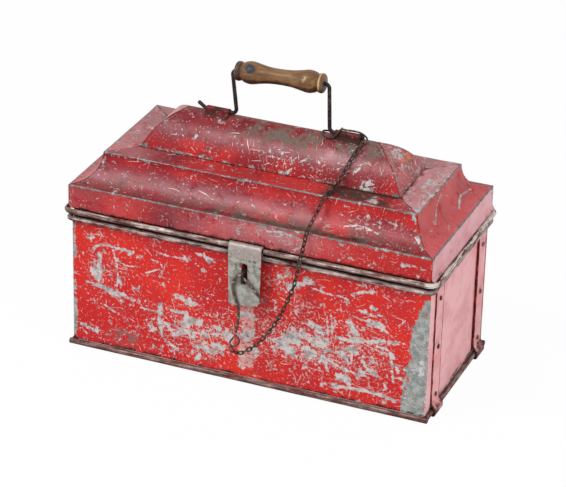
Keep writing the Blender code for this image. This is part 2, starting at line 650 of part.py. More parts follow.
def make_hasp(mats, hasp_axis):
    """The hasp: a plate rolled over the wire, tapered, slanted at the foot and slotted for the staple."""
    radius = HASP_KNUCKLE_RADIUS - HASP_PLATE / 2
    foot = LID_BEAD_Z - HASP_DROP - HASP_SLANT
    line = [(-LID_BEAD_Y - radius, foot)]
    for i in range(17):
        angle = math.pi - HASP_CURL * i / 16
        line.append((-LID_BEAD_Y + radius * math.cos(angle), LID_BEAD_Z + radius * math.sin(angle)))
    half = HASP_WIDTH / 2
    plate = add("hasp_plate", prism(bent_sheet(line, HASP_PLATE), 0, HASP_X - half, HASP_X + half),
                mats["galvanised steel"], hasp_axis)
    out, back = HASP_FRONT_Y - SHEET, HASP_FRONT_Y + HASP_PLATE + SHEET
    below = foot - HASP_SLANT
    narrow = half - HASP_TAPER
    slope = HASP_SLANT / HASP_WIDTH
    high_foot = foot + HASP_SLANT
    waste = [(-2 * half, below), (2 * half, below), (2 * half, high_foot + half * slope),
             (narrow, high_foot + HASP_CORNER), (narrow - HASP_CORNER, high_foot - HASP_CORNER * slope),
             (-narrow + HASP_CORNER, foot + HASP_CORNER * slope), (-narrow, foot + HASP_CORNER),
             (-2 * half, foot + HASP_CORNER)]
    slot_top, slot_foot = LID_BEAD_Z - SLOT_DROP, LID_BEAD_Z - SLOT_DROP - SLOT_LENGTH
    round_end = SLOT_WIDTH / 2
    slot = [(round_end * math.cos(a), slot_top - round_end + round_end * math.sin(a))
            for a in np.linspace(0, math.pi, 7)]
    slot += [(round_end * math.cos(a), slot_foot + round_end + round_end * math.sin(a))
             for a in np.linspace(math.pi, math.tau, 7)]
    shoulder = LID_BEAD_Z - HASP_KNUCKLE_RADIUS
    sides = [[(side * half, shoulder), (side * 2 * half, shoulder), (side * 2 * half, below),
              (side * narrow, below)] for side in (-1, 1)]
    cut(plate, [prism([(HASP_X + x, z) for x, z in shape], 1, out, back)
                for shape in (waste, slot, *sides)])


def make_handle(mats, lid_axis, handle_axis, grip_axis, foot_z):
    """The wire bail, its turned grip, and the tunnels that hold its feet on the ridge."""
    left_top, right_top = foot_z + GRIP_LOW_RISE, foot_z + GRIP_HIGH_RISE
    path = [(BAIL_FOOT_LEFT - BAIL_TIP[0], 0, foot_z + BAIL_TIP[1]), (BAIL_FOOT_LEFT, 0, foot_z),
            (LEG_LEFT[0], 0, foot_z), (LEG_LEFT[1], 0, left_top), (LEG_RIGHT[1], 0, right_top),
            (LEG_RIGHT[0], 0, foot_z), (BAIL_FOOT_RIGHT, 0, foot_z)]
    wire("bail", rounded(path, BAIL_BEND, 5), BAIL_RADIUS, mats["dark steel"], handle_axis)
    axis = Vector((LEG_RIGHT[1] - LEG_LEFT[1], 0, right_top - left_top))
    middle = Vector(((LEG_RIGHT[1] + LEG_LEFT[1]) / 2, 0, (left_top + right_top) / 2))
    half = GRIP_LENGTH / 2
    bore = BAIL_RADIUS + GAP
    bulge = half - GRIP_BULGE_AT
    neck = -half + 1.4 * GRIP_COLLAR_LENGTH
    profile = [(bore, -half), (GRIP_COLLAR_RADIUS - BEND_RADIUS / 2, -half),
               (GRIP_COLLAR_RADIUS, -half + GRIP_COLLAR_LENGTH / 4),
               (GRIP_COLLAR_RADIUS, -half + GRIP_COLLAR_LENGTH), (GRIP_NECK_RADIUS, neck)]
    for t in np.linspace(0.35, 1, 6):
        swell = GRIP_NECK_RADIUS + (GRIP_BULGE_RADIUS - GRIP_NECK_RADIUS) * math.sin(t * math.pi / 2)
        profile.append((swell, neck + t * (-bulge - neck)))
    for t in np.linspace(0.16, 1, 6):
        swell = (GRIP_BULGE_RADIUS - GRIP_WAIST_RADIUS) * (1 + math.cos(t * math.pi)) / 2
        profile.append((GRIP_WAIST_RADIUS + swell, -bulge + t * bulge))
    profile += [(radius, -along) for radius, along in profile[-2::-1]]
    frame = Matrix.Translation(middle) @ Matrix.Rotation(-math.atan2(axis.z, axis.x), 4, "Y")
    turned("grip", profile, mats["wood"], frame, grip_axis, closed=True)
    arch = BAIL_RADIUS + GAP + SHEET / 2
    line = [(y, crown_height(y) + GAP + SHEET / 2) for y in np.linspace(TUNNEL_HALF_DEPTH, arch, 4)]
    line += [(arch * math.cos(a), foot_z + arch * math.sin(a)) for a in np.linspace(0, math.pi, 9)]
    line += [(-y, z) for y, z in line[3::-1]]
    for name, (low, high) in (("left_bail_tunnel", TUNNEL_LEFT), ("right_bail_tunnel", TUNNEL_RIGHT)):
        add(name, prism(bent_sheet(line, SHEET), 0, low, high), mats["lid paint"], lid_axis, smooth=True)


def make_tether(mats, lid_axis, tether_axis, hook_axis, foot_z):
    """The link round the bail's leg, the chain's two stretches, the hook and its end loop."""
    dark = mats["dark steel"]
    shank_z = foot_z + BAIL_RADIUS + GAP + SHEET + LINK_LIFT
    start = np.array(CHAIN_OVER_LID[0])
    lead = start - np.array(CHAIN_OVER_LID[1])
    lead /= np.linalg.norm(lead)
    shank = TUNNEL_RIGHT[0] + LINK_SHANK_START
    knee = start + lead * LINK_KNEE_REACH + np.array((LINK_KNEE[0], 0, LINK_KNEE[1]))
    route = [(LEG_RIGHT[0] + x, y, crown_height(y) + lift) for x, y, lift in LINK_LOOP]
    route = [(shank, LINK_TAIL_Y, shank_z)] + route
    route += [(shank, LINK_SHANK_Y, shank_z), (shank + LINK_SHANK_STRAIGHT, 0, shank_z),
              (TUNNEL_RIGHT[1] - LINK_SHANK_END, 0, shank_z), tuple(knee), tuple(start + lead * 1.4 * GAP)]
    wire("chain_top_link", smooth_line(route, 0.0022), LINK_RADIUS, dark, lid_axis)
    wire("chain_over_lid", smooth_line(CHAIN_OVER_LID, CHAIN_STEP), CHAIN_RADIUS, dark, lid_axis)
    wire("chain_hanging", smooth_line(CHAIN_HANGING, CHAIN_STEP), CHAIN_RADIUS, dark, tether_axis)
    bends = [(HASP_X + x, HOOK_Y, STAPLE_Z + z) for x, z in HOOK_BENDS]
    wire("hook", smooth_line(bends, 0.0028), HOOK_RADIUS, dark, hook_axis)
    foot = np.array(bends[-1])
    loop_line = [tuple(foot + np.array((x, 0, z))) for x, z in END_LOOP]
    loop_line = smooth_line(loop_line, 0.0016, closed=True)
    wire("chain_end_loop", loop_line, END_LOOP_RADIUS, dark, hook_axis, closed=True)


def main():
    """Build the toolbox in an emptied scene."""
    for obj in list(bpy.data.objects):
        bpy.data.objects.remove(obj)
    mats = {
        "red paint": finish("red_paint", (0.55, 0.03, 0.025), 0.42, 0.1),
        "lid paint": finish("lid_paint", (0.36, 0.02, 0.03), 0.4, 0.1),
        "bare steel": finish("bare_steel", (0.42, 0.39, 0.36), 0.45, 0.9),
        "galvanised steel": finish("galvanised_steel", (0.52, 0.53, 0.5), 0.5, 0.85),
        "dark steel": finish("dark_steel", (0.07, 0.05, 0.045), 0.5, 0.85),
        "wood": finish("turned_wood", (0.4, 0.21, 0.08), 0.45, 0.0),
    }
    foot_z = crown_height(0) + GAP + BAIL_RADIUS
    grip_mid = ((LEG_RIGHT[1] + LEG_LEFT[1]) / 2, 0, foot_z + (GRIP_LOW_RISE + GRIP_HIGH_RISE) / 2)
    lid_axis = pivot("lid_axis", (0, HINGE_Y, HINGE_Z))
    hasp_axis = pivot("hasp_axis", (HASP_X, -LID_BEAD_Y, LID_BEAD_Z), lid_axis)
    handle_axis = pivot("handle_axis", (0, 0, foot_z), lid_axis)
    grip_axis = pivot("grip_axis", grip_mid, handle_axis)
    tether_axis = pivot("tether_axis", (CHAIN_HANGING[0][0], -LID_BEAD_Y, LID_BEAD_Z), lid_axis)
    hook_axis = pivot("hook_axis", (HASP_X, HOOK_Y, STAPLE_Z), tether_axis)
    make_panels(mats)
    make_beads(mats)
    make_straps(mats)
    make_staple(mats)
    make_hinges(mats, lid_axis)
    make_mouldings(mats, lid_axis)
    make_crown(mats, lid_axis)
    make_lid_bead(mats, lid_axis)
    make_hasp(mats, hasp_axis)
    make_handle(mats, lid_axis, handle_axis, grip_axis, foot_z)
    make_tether(mats, lid_axis, tether_axis, hook_axis, foot_z)


main()
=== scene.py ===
"""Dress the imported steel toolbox: worn enamel on galvanised sheet, rolled edges, wire, chain and wood.

Lengths are in metres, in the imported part's own frame: +Z up, -Y the front and X along the box.
"""

from __future__ import annotations

import logging
import math
from dataclasses import dataclass
from enum import Enum
from functools import reduce

import bmesh
import bpy
import numpy as np
from mathutils import Matrix, Vector
from numpy.typing import NDArray

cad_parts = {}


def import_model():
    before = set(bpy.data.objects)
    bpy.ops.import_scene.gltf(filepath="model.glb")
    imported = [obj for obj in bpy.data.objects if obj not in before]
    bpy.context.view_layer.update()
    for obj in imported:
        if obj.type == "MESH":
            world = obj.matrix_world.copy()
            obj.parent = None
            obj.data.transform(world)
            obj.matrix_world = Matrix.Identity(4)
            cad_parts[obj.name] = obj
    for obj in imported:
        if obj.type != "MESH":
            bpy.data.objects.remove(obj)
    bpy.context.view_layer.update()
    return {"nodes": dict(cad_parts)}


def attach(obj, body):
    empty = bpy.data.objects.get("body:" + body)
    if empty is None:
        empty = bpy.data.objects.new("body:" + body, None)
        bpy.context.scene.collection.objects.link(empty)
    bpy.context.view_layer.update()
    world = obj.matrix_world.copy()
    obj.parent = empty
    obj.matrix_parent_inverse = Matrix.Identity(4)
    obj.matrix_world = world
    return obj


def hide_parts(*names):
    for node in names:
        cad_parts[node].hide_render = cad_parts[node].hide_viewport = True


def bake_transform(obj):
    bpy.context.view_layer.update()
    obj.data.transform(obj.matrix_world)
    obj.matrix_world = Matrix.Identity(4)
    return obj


Array = NDArray[np.float64]
Material = bpy.types.Material
MeshObject = bpy.types.Object
Socket = bpy.types.NodeSocket
Pair = tuple[float, float]
Triple = tuple[float, float, float]
Feed = Socket | float | Triple
Bends = tuple[Pair, ...]
Route = tuple[Triple, ...]
Stretch = tuple[MeshObject, Array]
LOG = logging.getLogger("toolbox")
UP: Triple = (0.0, 0.0, 1.0)
ACROSS: Triple = (1.0, 0.0, 0.0)
INWARDS: Triple = (0.0, 1.0, 0.0)


class Body(Enum):
    """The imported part's bodies, by what they are on the box."""

    SHELL = "body"
    LID = "lid"
    HASP = "hasp"
    HANDLE = "handle"
    GRIP = "handle_grip"
    TETHER = "tether"
    HOOK = "pin_hook"


class Slot(Enum):
    """The material slots, by name."""

    RED = "red_paint"
    CRIMSON = "lid_paint"
    ROLLED = "bare_steel"
    PLATE = "galvanised_steel"
    WIRE = "dark_steel"
    WOOD = "turned_wood"


class Wear(Enum):
    """What a surface carries, a number on each point: 0 is none, 1 is full and less than 0 holds it off."""

    # Some of these also paint light: the rubbed number paints highlights and shade round rolled edges, grime
    # paints shade, dust paints sheen, fade paints glare and fresh paints the lit bright red.
    CHIPS = "chips"
    SCORE = "score"
    RUB_AND_SHEEN = "rub"
    BARE = "bare"
    GRIME_AND_SHADE = "grime"
    DUST_AND_SHEEN = "dust"
    FADE = "fade"
    FRESH_AND_LIT = "fresh"


CHIPS, SCORE, RUB_AND_SHEEN, BARE, GRIME_AND_SHADE, DUST_AND_SHEEN, FADE, FRESH_AND_LIT = Wear
Worn = dict[Wear, Array]


@dataclass(frozen=True)
class Tag:
    """What a piece is called, moves with, takes its finish from and stands for."""

    name: str
    body: Body
    slot: Slot
    stands_for: tuple[str, ...] = ()


@dataclass(frozen=True)
class Spot:
    """A soft spot of wear: how much, where its middle is, and its reach along each coordinate."""

    amount: float
    middle: Pair
    reach: Pair


@dataclass(frozen=True)
class Score:
    """A scored line or a flaked spot in paint: half its width and its points on the sheet, in millimetres."""

    half: float
    line: Bends


def scores(*rows: tuple[float, ...]) -> tuple[Score, ...]:
    """Scores from rows of half a width and then x and y of each point."""
    return tuple(Score(row[0], tuple(zip(row[1::2], row[2::2]))) for row in rows)


# Shapes as whole arrays


def smoothstep(low: Array | float, high: Array | float, value: Array) -> Array:
    """Rise from 0 at low to 1 at high as 3t^2 - 2t^3."""
    t = np.clip((value - low) / (high - low), 0.0, 1.0)
    return t * t * (3.0 - 2.0 * t)


def window(value: Array, low: Pair, high: Pair) -> Array:
    """1 between two soft edges: a rise over the low pair and a fall over the high pair."""
    return smoothstep(low[0], low[1], value) * smoothstep(high[1], high[0], value)


def ridge(value: Array, middle: float, spread: float) -> Array:
    """A soft line: exp(-(d/s)^2) about a middle."""
    return np.exp(-(((value - middle) / spread) ** 2))


def spotted(u: Array, v: Array, *spots: Spot) -> Array:
    """The sum of soft spots: each is its amount times a soft line across each coordinate."""
    lines = ((s.amount, ridge(u, s.middle[0], s.reach[0]), ridge(v, s.middle[1], s.reach[1])) for s in spots)
    return sum(amount * (across * along) for amount, across, along in lines)


def more(worn: Worn, kind: Wear, amount: Array) -> None:
    """Add to what a surface carries."""
    worn[kind] = worn.get(kind, 0.0) + amount


def ripple(u: Array, v: Array, seed: int, pitch: float = 0.05) -> Array:
    """Slow waves of a hand-worked sheet: the mean of six cosines of random direction and phase.

    Args:
        u: First coordinate of each point.
        v: Second coordinate of each point.
        seed: Picks the directions and phases.
        pitch: The shortest wavelength.

    Returns:
        A number from 0 to 1 for each point.
    """
    chance, waves = np.random.default_rng(seed), 6
    angle = chance.uniform(0.0, math.tau, waves)
    number = math.tau / (pitch * chance.uniform(1.0, 2.6, waves))
    phase = chance.uniform(0.0, math.tau, waves)
    across = u[..., None] * np.cos(angle) + v[..., None] * np.sin(angle)
    return 0.5 + 0.5 * np.cos(across * number + phase).mean(axis=-1)


def scored(u: Array, v: Array, scores: tuple[Score, ...]) -> Array:
    """How deep each point lies in any score: 1 within half the width of its line, 0 at twice that.

    The distance to a straight piece from a to b is |p - a - t (b - a)|, with t the projection, in 0 to 1.

    Args:
        u: First coordinate of each point on the sheet.
        v: Second coordinate of each point.
        scores: The scored lines.

    Returns:
        A number from 0 to 1 for each point.
    """
    depth = np.zeros(u.shape)
    for score in scores:
        line = through(np.array(score.line) / 1000.0, 4)
        near = np.full(u.shape, np.inf)
        for a, b in zip(line, line[1:]):
            along = b - a
            t = np.clip(((u - a[0]) * along[0] + (v - a[1]) * along[1]) / (along @ along), 0.0, 1.0)
            near = np.minimum(near, np.hypot(u - a[0] - t * along[0], v - a[1] - t * along[1]))
        half = score.half / 1000.0
        depth = np.maximum(depth, smoothstep(2.0 * half, 0.5 * half, near))
    return depth


def joined(*parts: Array) -> Array:
    """Coordinates stretched to one shape and joined into points."""
    return np.stack(np.broadcast_arrays(*parts), axis=-1)


def unit(vectors: Array) -> Array:
    """Vectors along the last axis, each made one long."""
    return vectors / np.linalg.norm(vectors, axis=-1, keepdims=True)


def turns(sides: int) -> Array:
    """Angles evenly round a circle."""
    return np.linspace(0.0, math.tau, sides, endpoint=False)


def through(points: Array, per_span: int, closed: bool = False) -> Array:
    """Points on the Catmull-Rom curve through a route: a cubic on each span, blended from four neighbours.

    Args:
        points: The route's own points, one row each.
        per_span: How many points to give each span.
        closed: Whether the route comes back to its start.

    Returns:
        The curve's points in order.
    """
    p = np.asarray(points, float)
    if closed:
        p = np.vstack([p[-1], p, p[:2]])
    else:
        p = np.vstack([2 * p[0] - p[1], p, 2 * p[-1] - p[-2]])
    t = (np.arange(per_span) / per_span)[None, :, None]
    a, b, c, d = (p[i : len(p) - 3 + i, None, :] for i in range(4))
    spans = 0.5 * (2 * b + (c - a) * t + (2 * a - 5 * b + 4 * c - d) * t**2 + (3 * b - a - 3 * c + d) * t**3)
    line = spans.reshape(-1, p.shape[1])
    return line if closed else np.vstack([line, p[-2]])


def distance_along(line: Array) -> Array:
    """Distance of each point from the start of its polyline."""
    steps = np.linalg.norm(np.diff(line, axis=0), axis=1)
    return np.concatenate([[0.0], np.cumsum(steps)])


def at_distances(line: Array, goal: Array) -> Array:
    """The points of a polyline at given distances from its start."""
    run = distance_along(line)
    return np.stack([np.interp(goal, run, line[:, k]) for k in range(line.shape[1])], axis=1)


def refined(line: Array, step: float) -> Array:
    """A polyline with more points, about a step apart, that keeps its own."""
    run = distance_along(line)
    goal = np.concatenate([run, np.arange(step, run[-1] - step / 2, step)])
    return at_distances(line, np.unique(np.round(goal, 6)))


def fillet(points: list[tuple[float, ...]], radius: float, steps: int = 6) -> Array:
    """A polyline whose inner corners are arcs: each arc is a slerp between the two radii at its corner.

    Args:
        points: The corners, ends included.
        radius: The arcs' radius.
        steps: Segments in each arc.

    Returns:
        The rounded polyline.
    """
    p = np.asarray(points, float)
    along = unit(np.diff(p, axis=0))
    back, ahead, corner = -along[:-1], along[1:], p[1:-1]
    half = np.arccos(np.clip((back * ahead).sum(1), -1.0, 1.0)) / 2
    centre = corner + unit(back + ahead) * (radius / np.sin(half))[:, None]
    reach = (radius / np.tan(half))[:, None]
    start, end = corner + back * reach - centre, corner + ahead * reach - centre
    sweep = (math.pi - 2 * half)[:, None, None]
    t = np.linspace(0.0, 1.0, steps + 1)[None, :, None]
    arc = start[:, None] * np.sin((1 - t) * sweep) + end[:, None] * np.sin(t * sweep)
    arcs = centre[:, None] + arc / np.sin(sweep)
    return np.vstack([p[:1], arcs.reshape(-1, p.shape[1]), p[-1:]])


def aside(line: Array, distance: float) -> Array:
    """A flat polyline moved to its left by a distance, along the mean of the normals at each point.

    Args:
        line: Points in two coordinates.
        distance: How far to move it.

    Returns:
        The moved polyline.
    """
    along = unit(np.diff(line, axis=0))
    side = np.stack([-along[:, 1], along[:, 0]], axis=1)
    before, after = np.vstack([side[:1], side]), np.vstack([side, side[-1:]])
    joint = unit(before + after)
    return line + joint * (distance / (joint * before).sum(1))[:, None]


def slopes(profile: Array) -> Array:
    """The unit direction of a flat profile at each of its points."""
    return unit(np.gradient(profile, axis=0))


def mitred_places(half: Array, ends: tuple[float, ...], count: int) -> Array:
    """Places along each row of a mitred sheet: close together near both ends and even between them.

    Args:
        half: Half the length of each row, as (row, 1).
        ends: Distances of the close places from an end.
        count: How many even places, with both limits.

    Returns:
        Places as (row, column).
    """
    near = half - np.array(ends)[None, :]
    middle = np.linspace(-1, 1, count)[None, 1:-1] * (half - ends[-1])
    return np.concatenate([-near, middle, near[:, ::-1]], axis=1)


def swept(line: Array, radius: Array | float, aim: Triple, sides: int, closed: bool) -> Array:
    """A circle carried along a path: line + r (a cos q + b sin q), with a and b square to the path.

    Args:
        line: The path.
        radius: The circle's radius, one number or one for each point.
        aim: A direction that the path never takes; a is square to it.
        sides: Points on the circle.
        closed: Whether the path comes back to its start.

    Returns:
        Points as (path, circle, xyz).
    """
    if closed:
        tangent = unit(np.roll(line, -1, axis=0) - np.roll(line, 1, axis=0))
    else:
        tangent = slopes(line)
    a = unit(np.cross(np.asarray(aim, float), tangent))
    b = np.cross(tangent, a)
    q = turns(sides)[None, :, None]
    size = np.broadcast_to(np.asarray(radius, float), (len(line),))[:, None, None]
    return line[:, None] + size * (a[:, None] * np.cos(q) + b[:, None] * np.sin(q))


def dome_ends(line: Array, radius: float) -> tuple[Array, Array]:
    """Lengthen a wire at both ends by half balls: at an angle a it is r cos a thick, 0.6 r sin a further on.

    Args:
        line: The wire's path.
        radius: Its radius.

    Returns:
        The longer path and the radius at each of its points.
    """
    angle = np.linspace(0.0, math.radians(86), 5)[1:]
    thin, further = radius * np.cos(angle), (radius * 0.6 * np.sin(angle))[:, None]
    head = line[0] + unit(line[0] - line[1]) * further[::-1]
    tail = line[-1] + unit(line[-1] - line[-2]) * further
    return np.vstack([head, line, tail]), np.concatenate([thin[::-1], np.full(len(line), radius), thin])


def wander(line: Array, radius: Array | float, share: float) -> Array:
    """A wire's radius along its path, thinned by up to a share in two slow waves."""
    run = distance_along(line)
    wave = 0.5 + 0.25 * np.sin(run * 210.0) + 0.25 * np.sin(run * 77.0 + 1.0)
    return np.broadcast_to(radius, (len(line),)) * (1.0 - share * wave)


def grid_faces(rows: int, columns: int, wrap_rows: bool = False, wrap_columns: bool = False) -> Array:
    """Quads of a grid of points: each joins a point, its right neighbour and the two in the next row.

    Args:
        rows: Rows of points.
        columns: Points in each row.
        wrap_rows: Whether the last row joins the first.
        wrap_columns: Whether the last column joins the first.

    Returns:
        Indices as (face, corner).
    """
    down, along = np.arange(rows - (not wrap_rows)), np.arange(columns - (not wrap_columns))
    i, j = (index.ravel() for index in np.meshgrid(down, along, indexing="ij"))
    i2, j2 = (i + 1) % rows, (j + 1) % columns
    return np.stack([i * columns + j, i * columns + j2, i2 * columns + j2, i2 * columns + j], axis=1)


# Mesh objects


def make_object(
    name: str,
    points: Array,
    faces: list[list[int]],
    material: Material,
    uv: Array | None = None,
    wear: Worn | None = None,
    crease: float = 38.0,
) -> MeshObject:
    """Put points and faces into a mesh object at the origin.

    Args:
        name: The object's name.
        points: One row for each point.
        faces: Point indices of each face.
        material: What it is finished with.
        uv: Place on the flat sheet for each point, in metres.
        wear: What the surface carries at each point.
        crease: The angle in degrees past which an edge stays sharp.

    Returns:
        The linked object.
    """
    mesh = bpy.data.meshes.new(name)
    mesh.from_pydata(points.tolist(), [], faces)
    if uv is not None:
        corner = np.empty(len(mesh.loops), np.int32)
        mesh.loops.foreach_get("vertex_index", corner)
        layer = mesh.uv_layers.new(name="UVMap")
        layer.uv.foreach_set("vector", uv[corner].astype(np.float32).ravel())
    if wear is not None:
        for kind in Wear:
            carried = mesh.attributes.new(kind.value, "FLOAT", "POINT")
            amount = np.clip(wear.get(kind, np.zeros(len(points))), -1.0, 1.0)
            carried.data.foreach_set("value", np.asarray(amount, np.float32).ravel())
    mesh.materials.append(material)
    mesh.shade_smooth()
    mesh.set_sharp_from_angle(angle=math.radians(crease))
    mesh.update()
    obj = bpy.data.objects.new(name, mesh)
    bpy.context.collection.objects.link(obj)
    return obj


def publish(obj: MeshObject, tag: Tag) -> MeshObject:
    """Tie a finished piece to its body, hide the solids that it stands for and log it."""
    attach(obj, tag.body.value)
    return enter(obj, tag)


def enter(obj: MeshObject, tag: Tag) -> MeshObject:
    """Hide the solids that a piece stands for, and log it.

    Args:
        obj: The piece.
        tag: What it is.

    Returns:
        The same piece.
    """
    if tag.stands_for:
        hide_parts(*tag.stands_for)
    LOG.info("%s: %d faces on %s", obj.name, len(obj.data.polygons), tag.body.value)
    return obj


def give_wall(obj: MeshObject, thickness: float) -> None:
    """Thicken a sheet inwards, behind its outer face."""
    wall = obj.modifiers.new("wall", "SOLIDIFY")
    wall.thickness = thickness
    wall.offset = -1.0
    wall.use_even_offset = True
    wall.material_offset = len(obj.data.materials) - 1


def ease_edges(obj: MeshObject, width: float) -> None:
    """Round a thick sheet's cut edges a little."""
    ease = obj.modifiers.new("eased", "BEVEL")
    ease.width = width
    ease.segments = 2
    ease.limit_method = "ANGLE"
    ease.angle_limit = math.radians(50)


def tidy_mesh(obj: MeshObject, turn_out: bool) -> None:
    """Merge doubled points, and turn a closed mesh's faces outwards where asked."""
    work = bmesh.new()
    work.from_mesh(obj.data)
    bmesh.ops.remove_doubles(work, verts=work.verts, dist=1e-6)
    if turn_out:
        bmesh.ops.recalc_face_normals(work, faces=work.faces)
    work.to_mesh(obj.data)
    work.free()


def sheet_object(
    tag: Tag,
    grid: Array,
    uv: Array,
    wear: Worn,
    finish: tuple[Material, ...],
    thickness: float,
) -> MeshObject:
    """A sheet-metal piece: a grid of points with a wall behind it.

    Args:
        tag: What the piece is.
        grid: Points as (row, column, xyz), facing out.
        uv: Place on the flat sheet, as (row, column, 2).
        wear: What each point carries, as (row, column).
        finish: Its material outside, and inside where that differs.
        thickness: The sheet's thickness.

    Returns:
        The published object.
    """
    rows, columns = grid.shape[:2]
    carried = {kind: np.broadcast_to(amount, (rows, columns)).ravel() for kind, amount in wear.items()}
    faces = grid_faces(rows, columns).tolist()
    obj = make_object(tag.name, grid.reshape(-1, 3), faces, finish[0], uv.reshape(-1, 2), carried)
    for inner in finish[1:]:
        obj.data.materials.append(inner)
    give_wall(obj, thickness)
    return publish(obj, tag)


def wire_object(
    tag: Tag,
    line: Array,
    radius: Array | float,
    aim: Triple,
    material: Material,
    sides: int = 14,
    closed: bool = False,
    crest: float | None = None,
    bare: Array | float = 0.0,
) -> MeshObject:
    """A bent wire: a circle carried along a path, with flat or thinned ends, or none where it is closed.

    Its UV map is (distance along, distance round). A wire with a crest carries how each point turns to it.

    Args:
        tag: What the piece is.
        line: The wire's path.
        radius: Its radius, one number or one for each point.
        aim: A direction that the path never takes.
        material: Its finish.
        sides: Points round the wire.
        closed: Whether it is a ring.
        crest: The angle round the wire of its most rubbed line, which its finish also paints as a highlight,
            with painted shade opposite it.
        bare: How far it is rubbed bare, one number or one for each point of the path.

    Returns:
        The published object.
    """
    grid = swept(line, radius, aim, sides, closed)
    faces = grid_faces(len(line), sides, closed, True).tolist()
    if not closed:
        faces.append(list(range(sides))[::-1])
        faces.append(list(range((len(line) - 1) * sides, len(line) * sides)))
    q = np.broadcast_to(turns(sides), grid.shape[:2])
    uv = joined(distance_along(line)[:, None], q * float(np.max(radius)))
    wear: Worn = {}
    if crest is not None:
        rubbed = np.broadcast_to(np.reshape(bare, (-1, 1)), q.shape).ravel()
        wear = {RUB_AND_SHEEN: (0.5 + 0.5 * np.cos(q - crest)).ravel(), BARE: rubbed}
    obj = make_object(tag.name, grid.reshape(-1, 3), faces, material, uv.reshape(-1, 2), wear)
    tidy_mesh(obj, True)
    return publish(obj, tag)


# Finishes


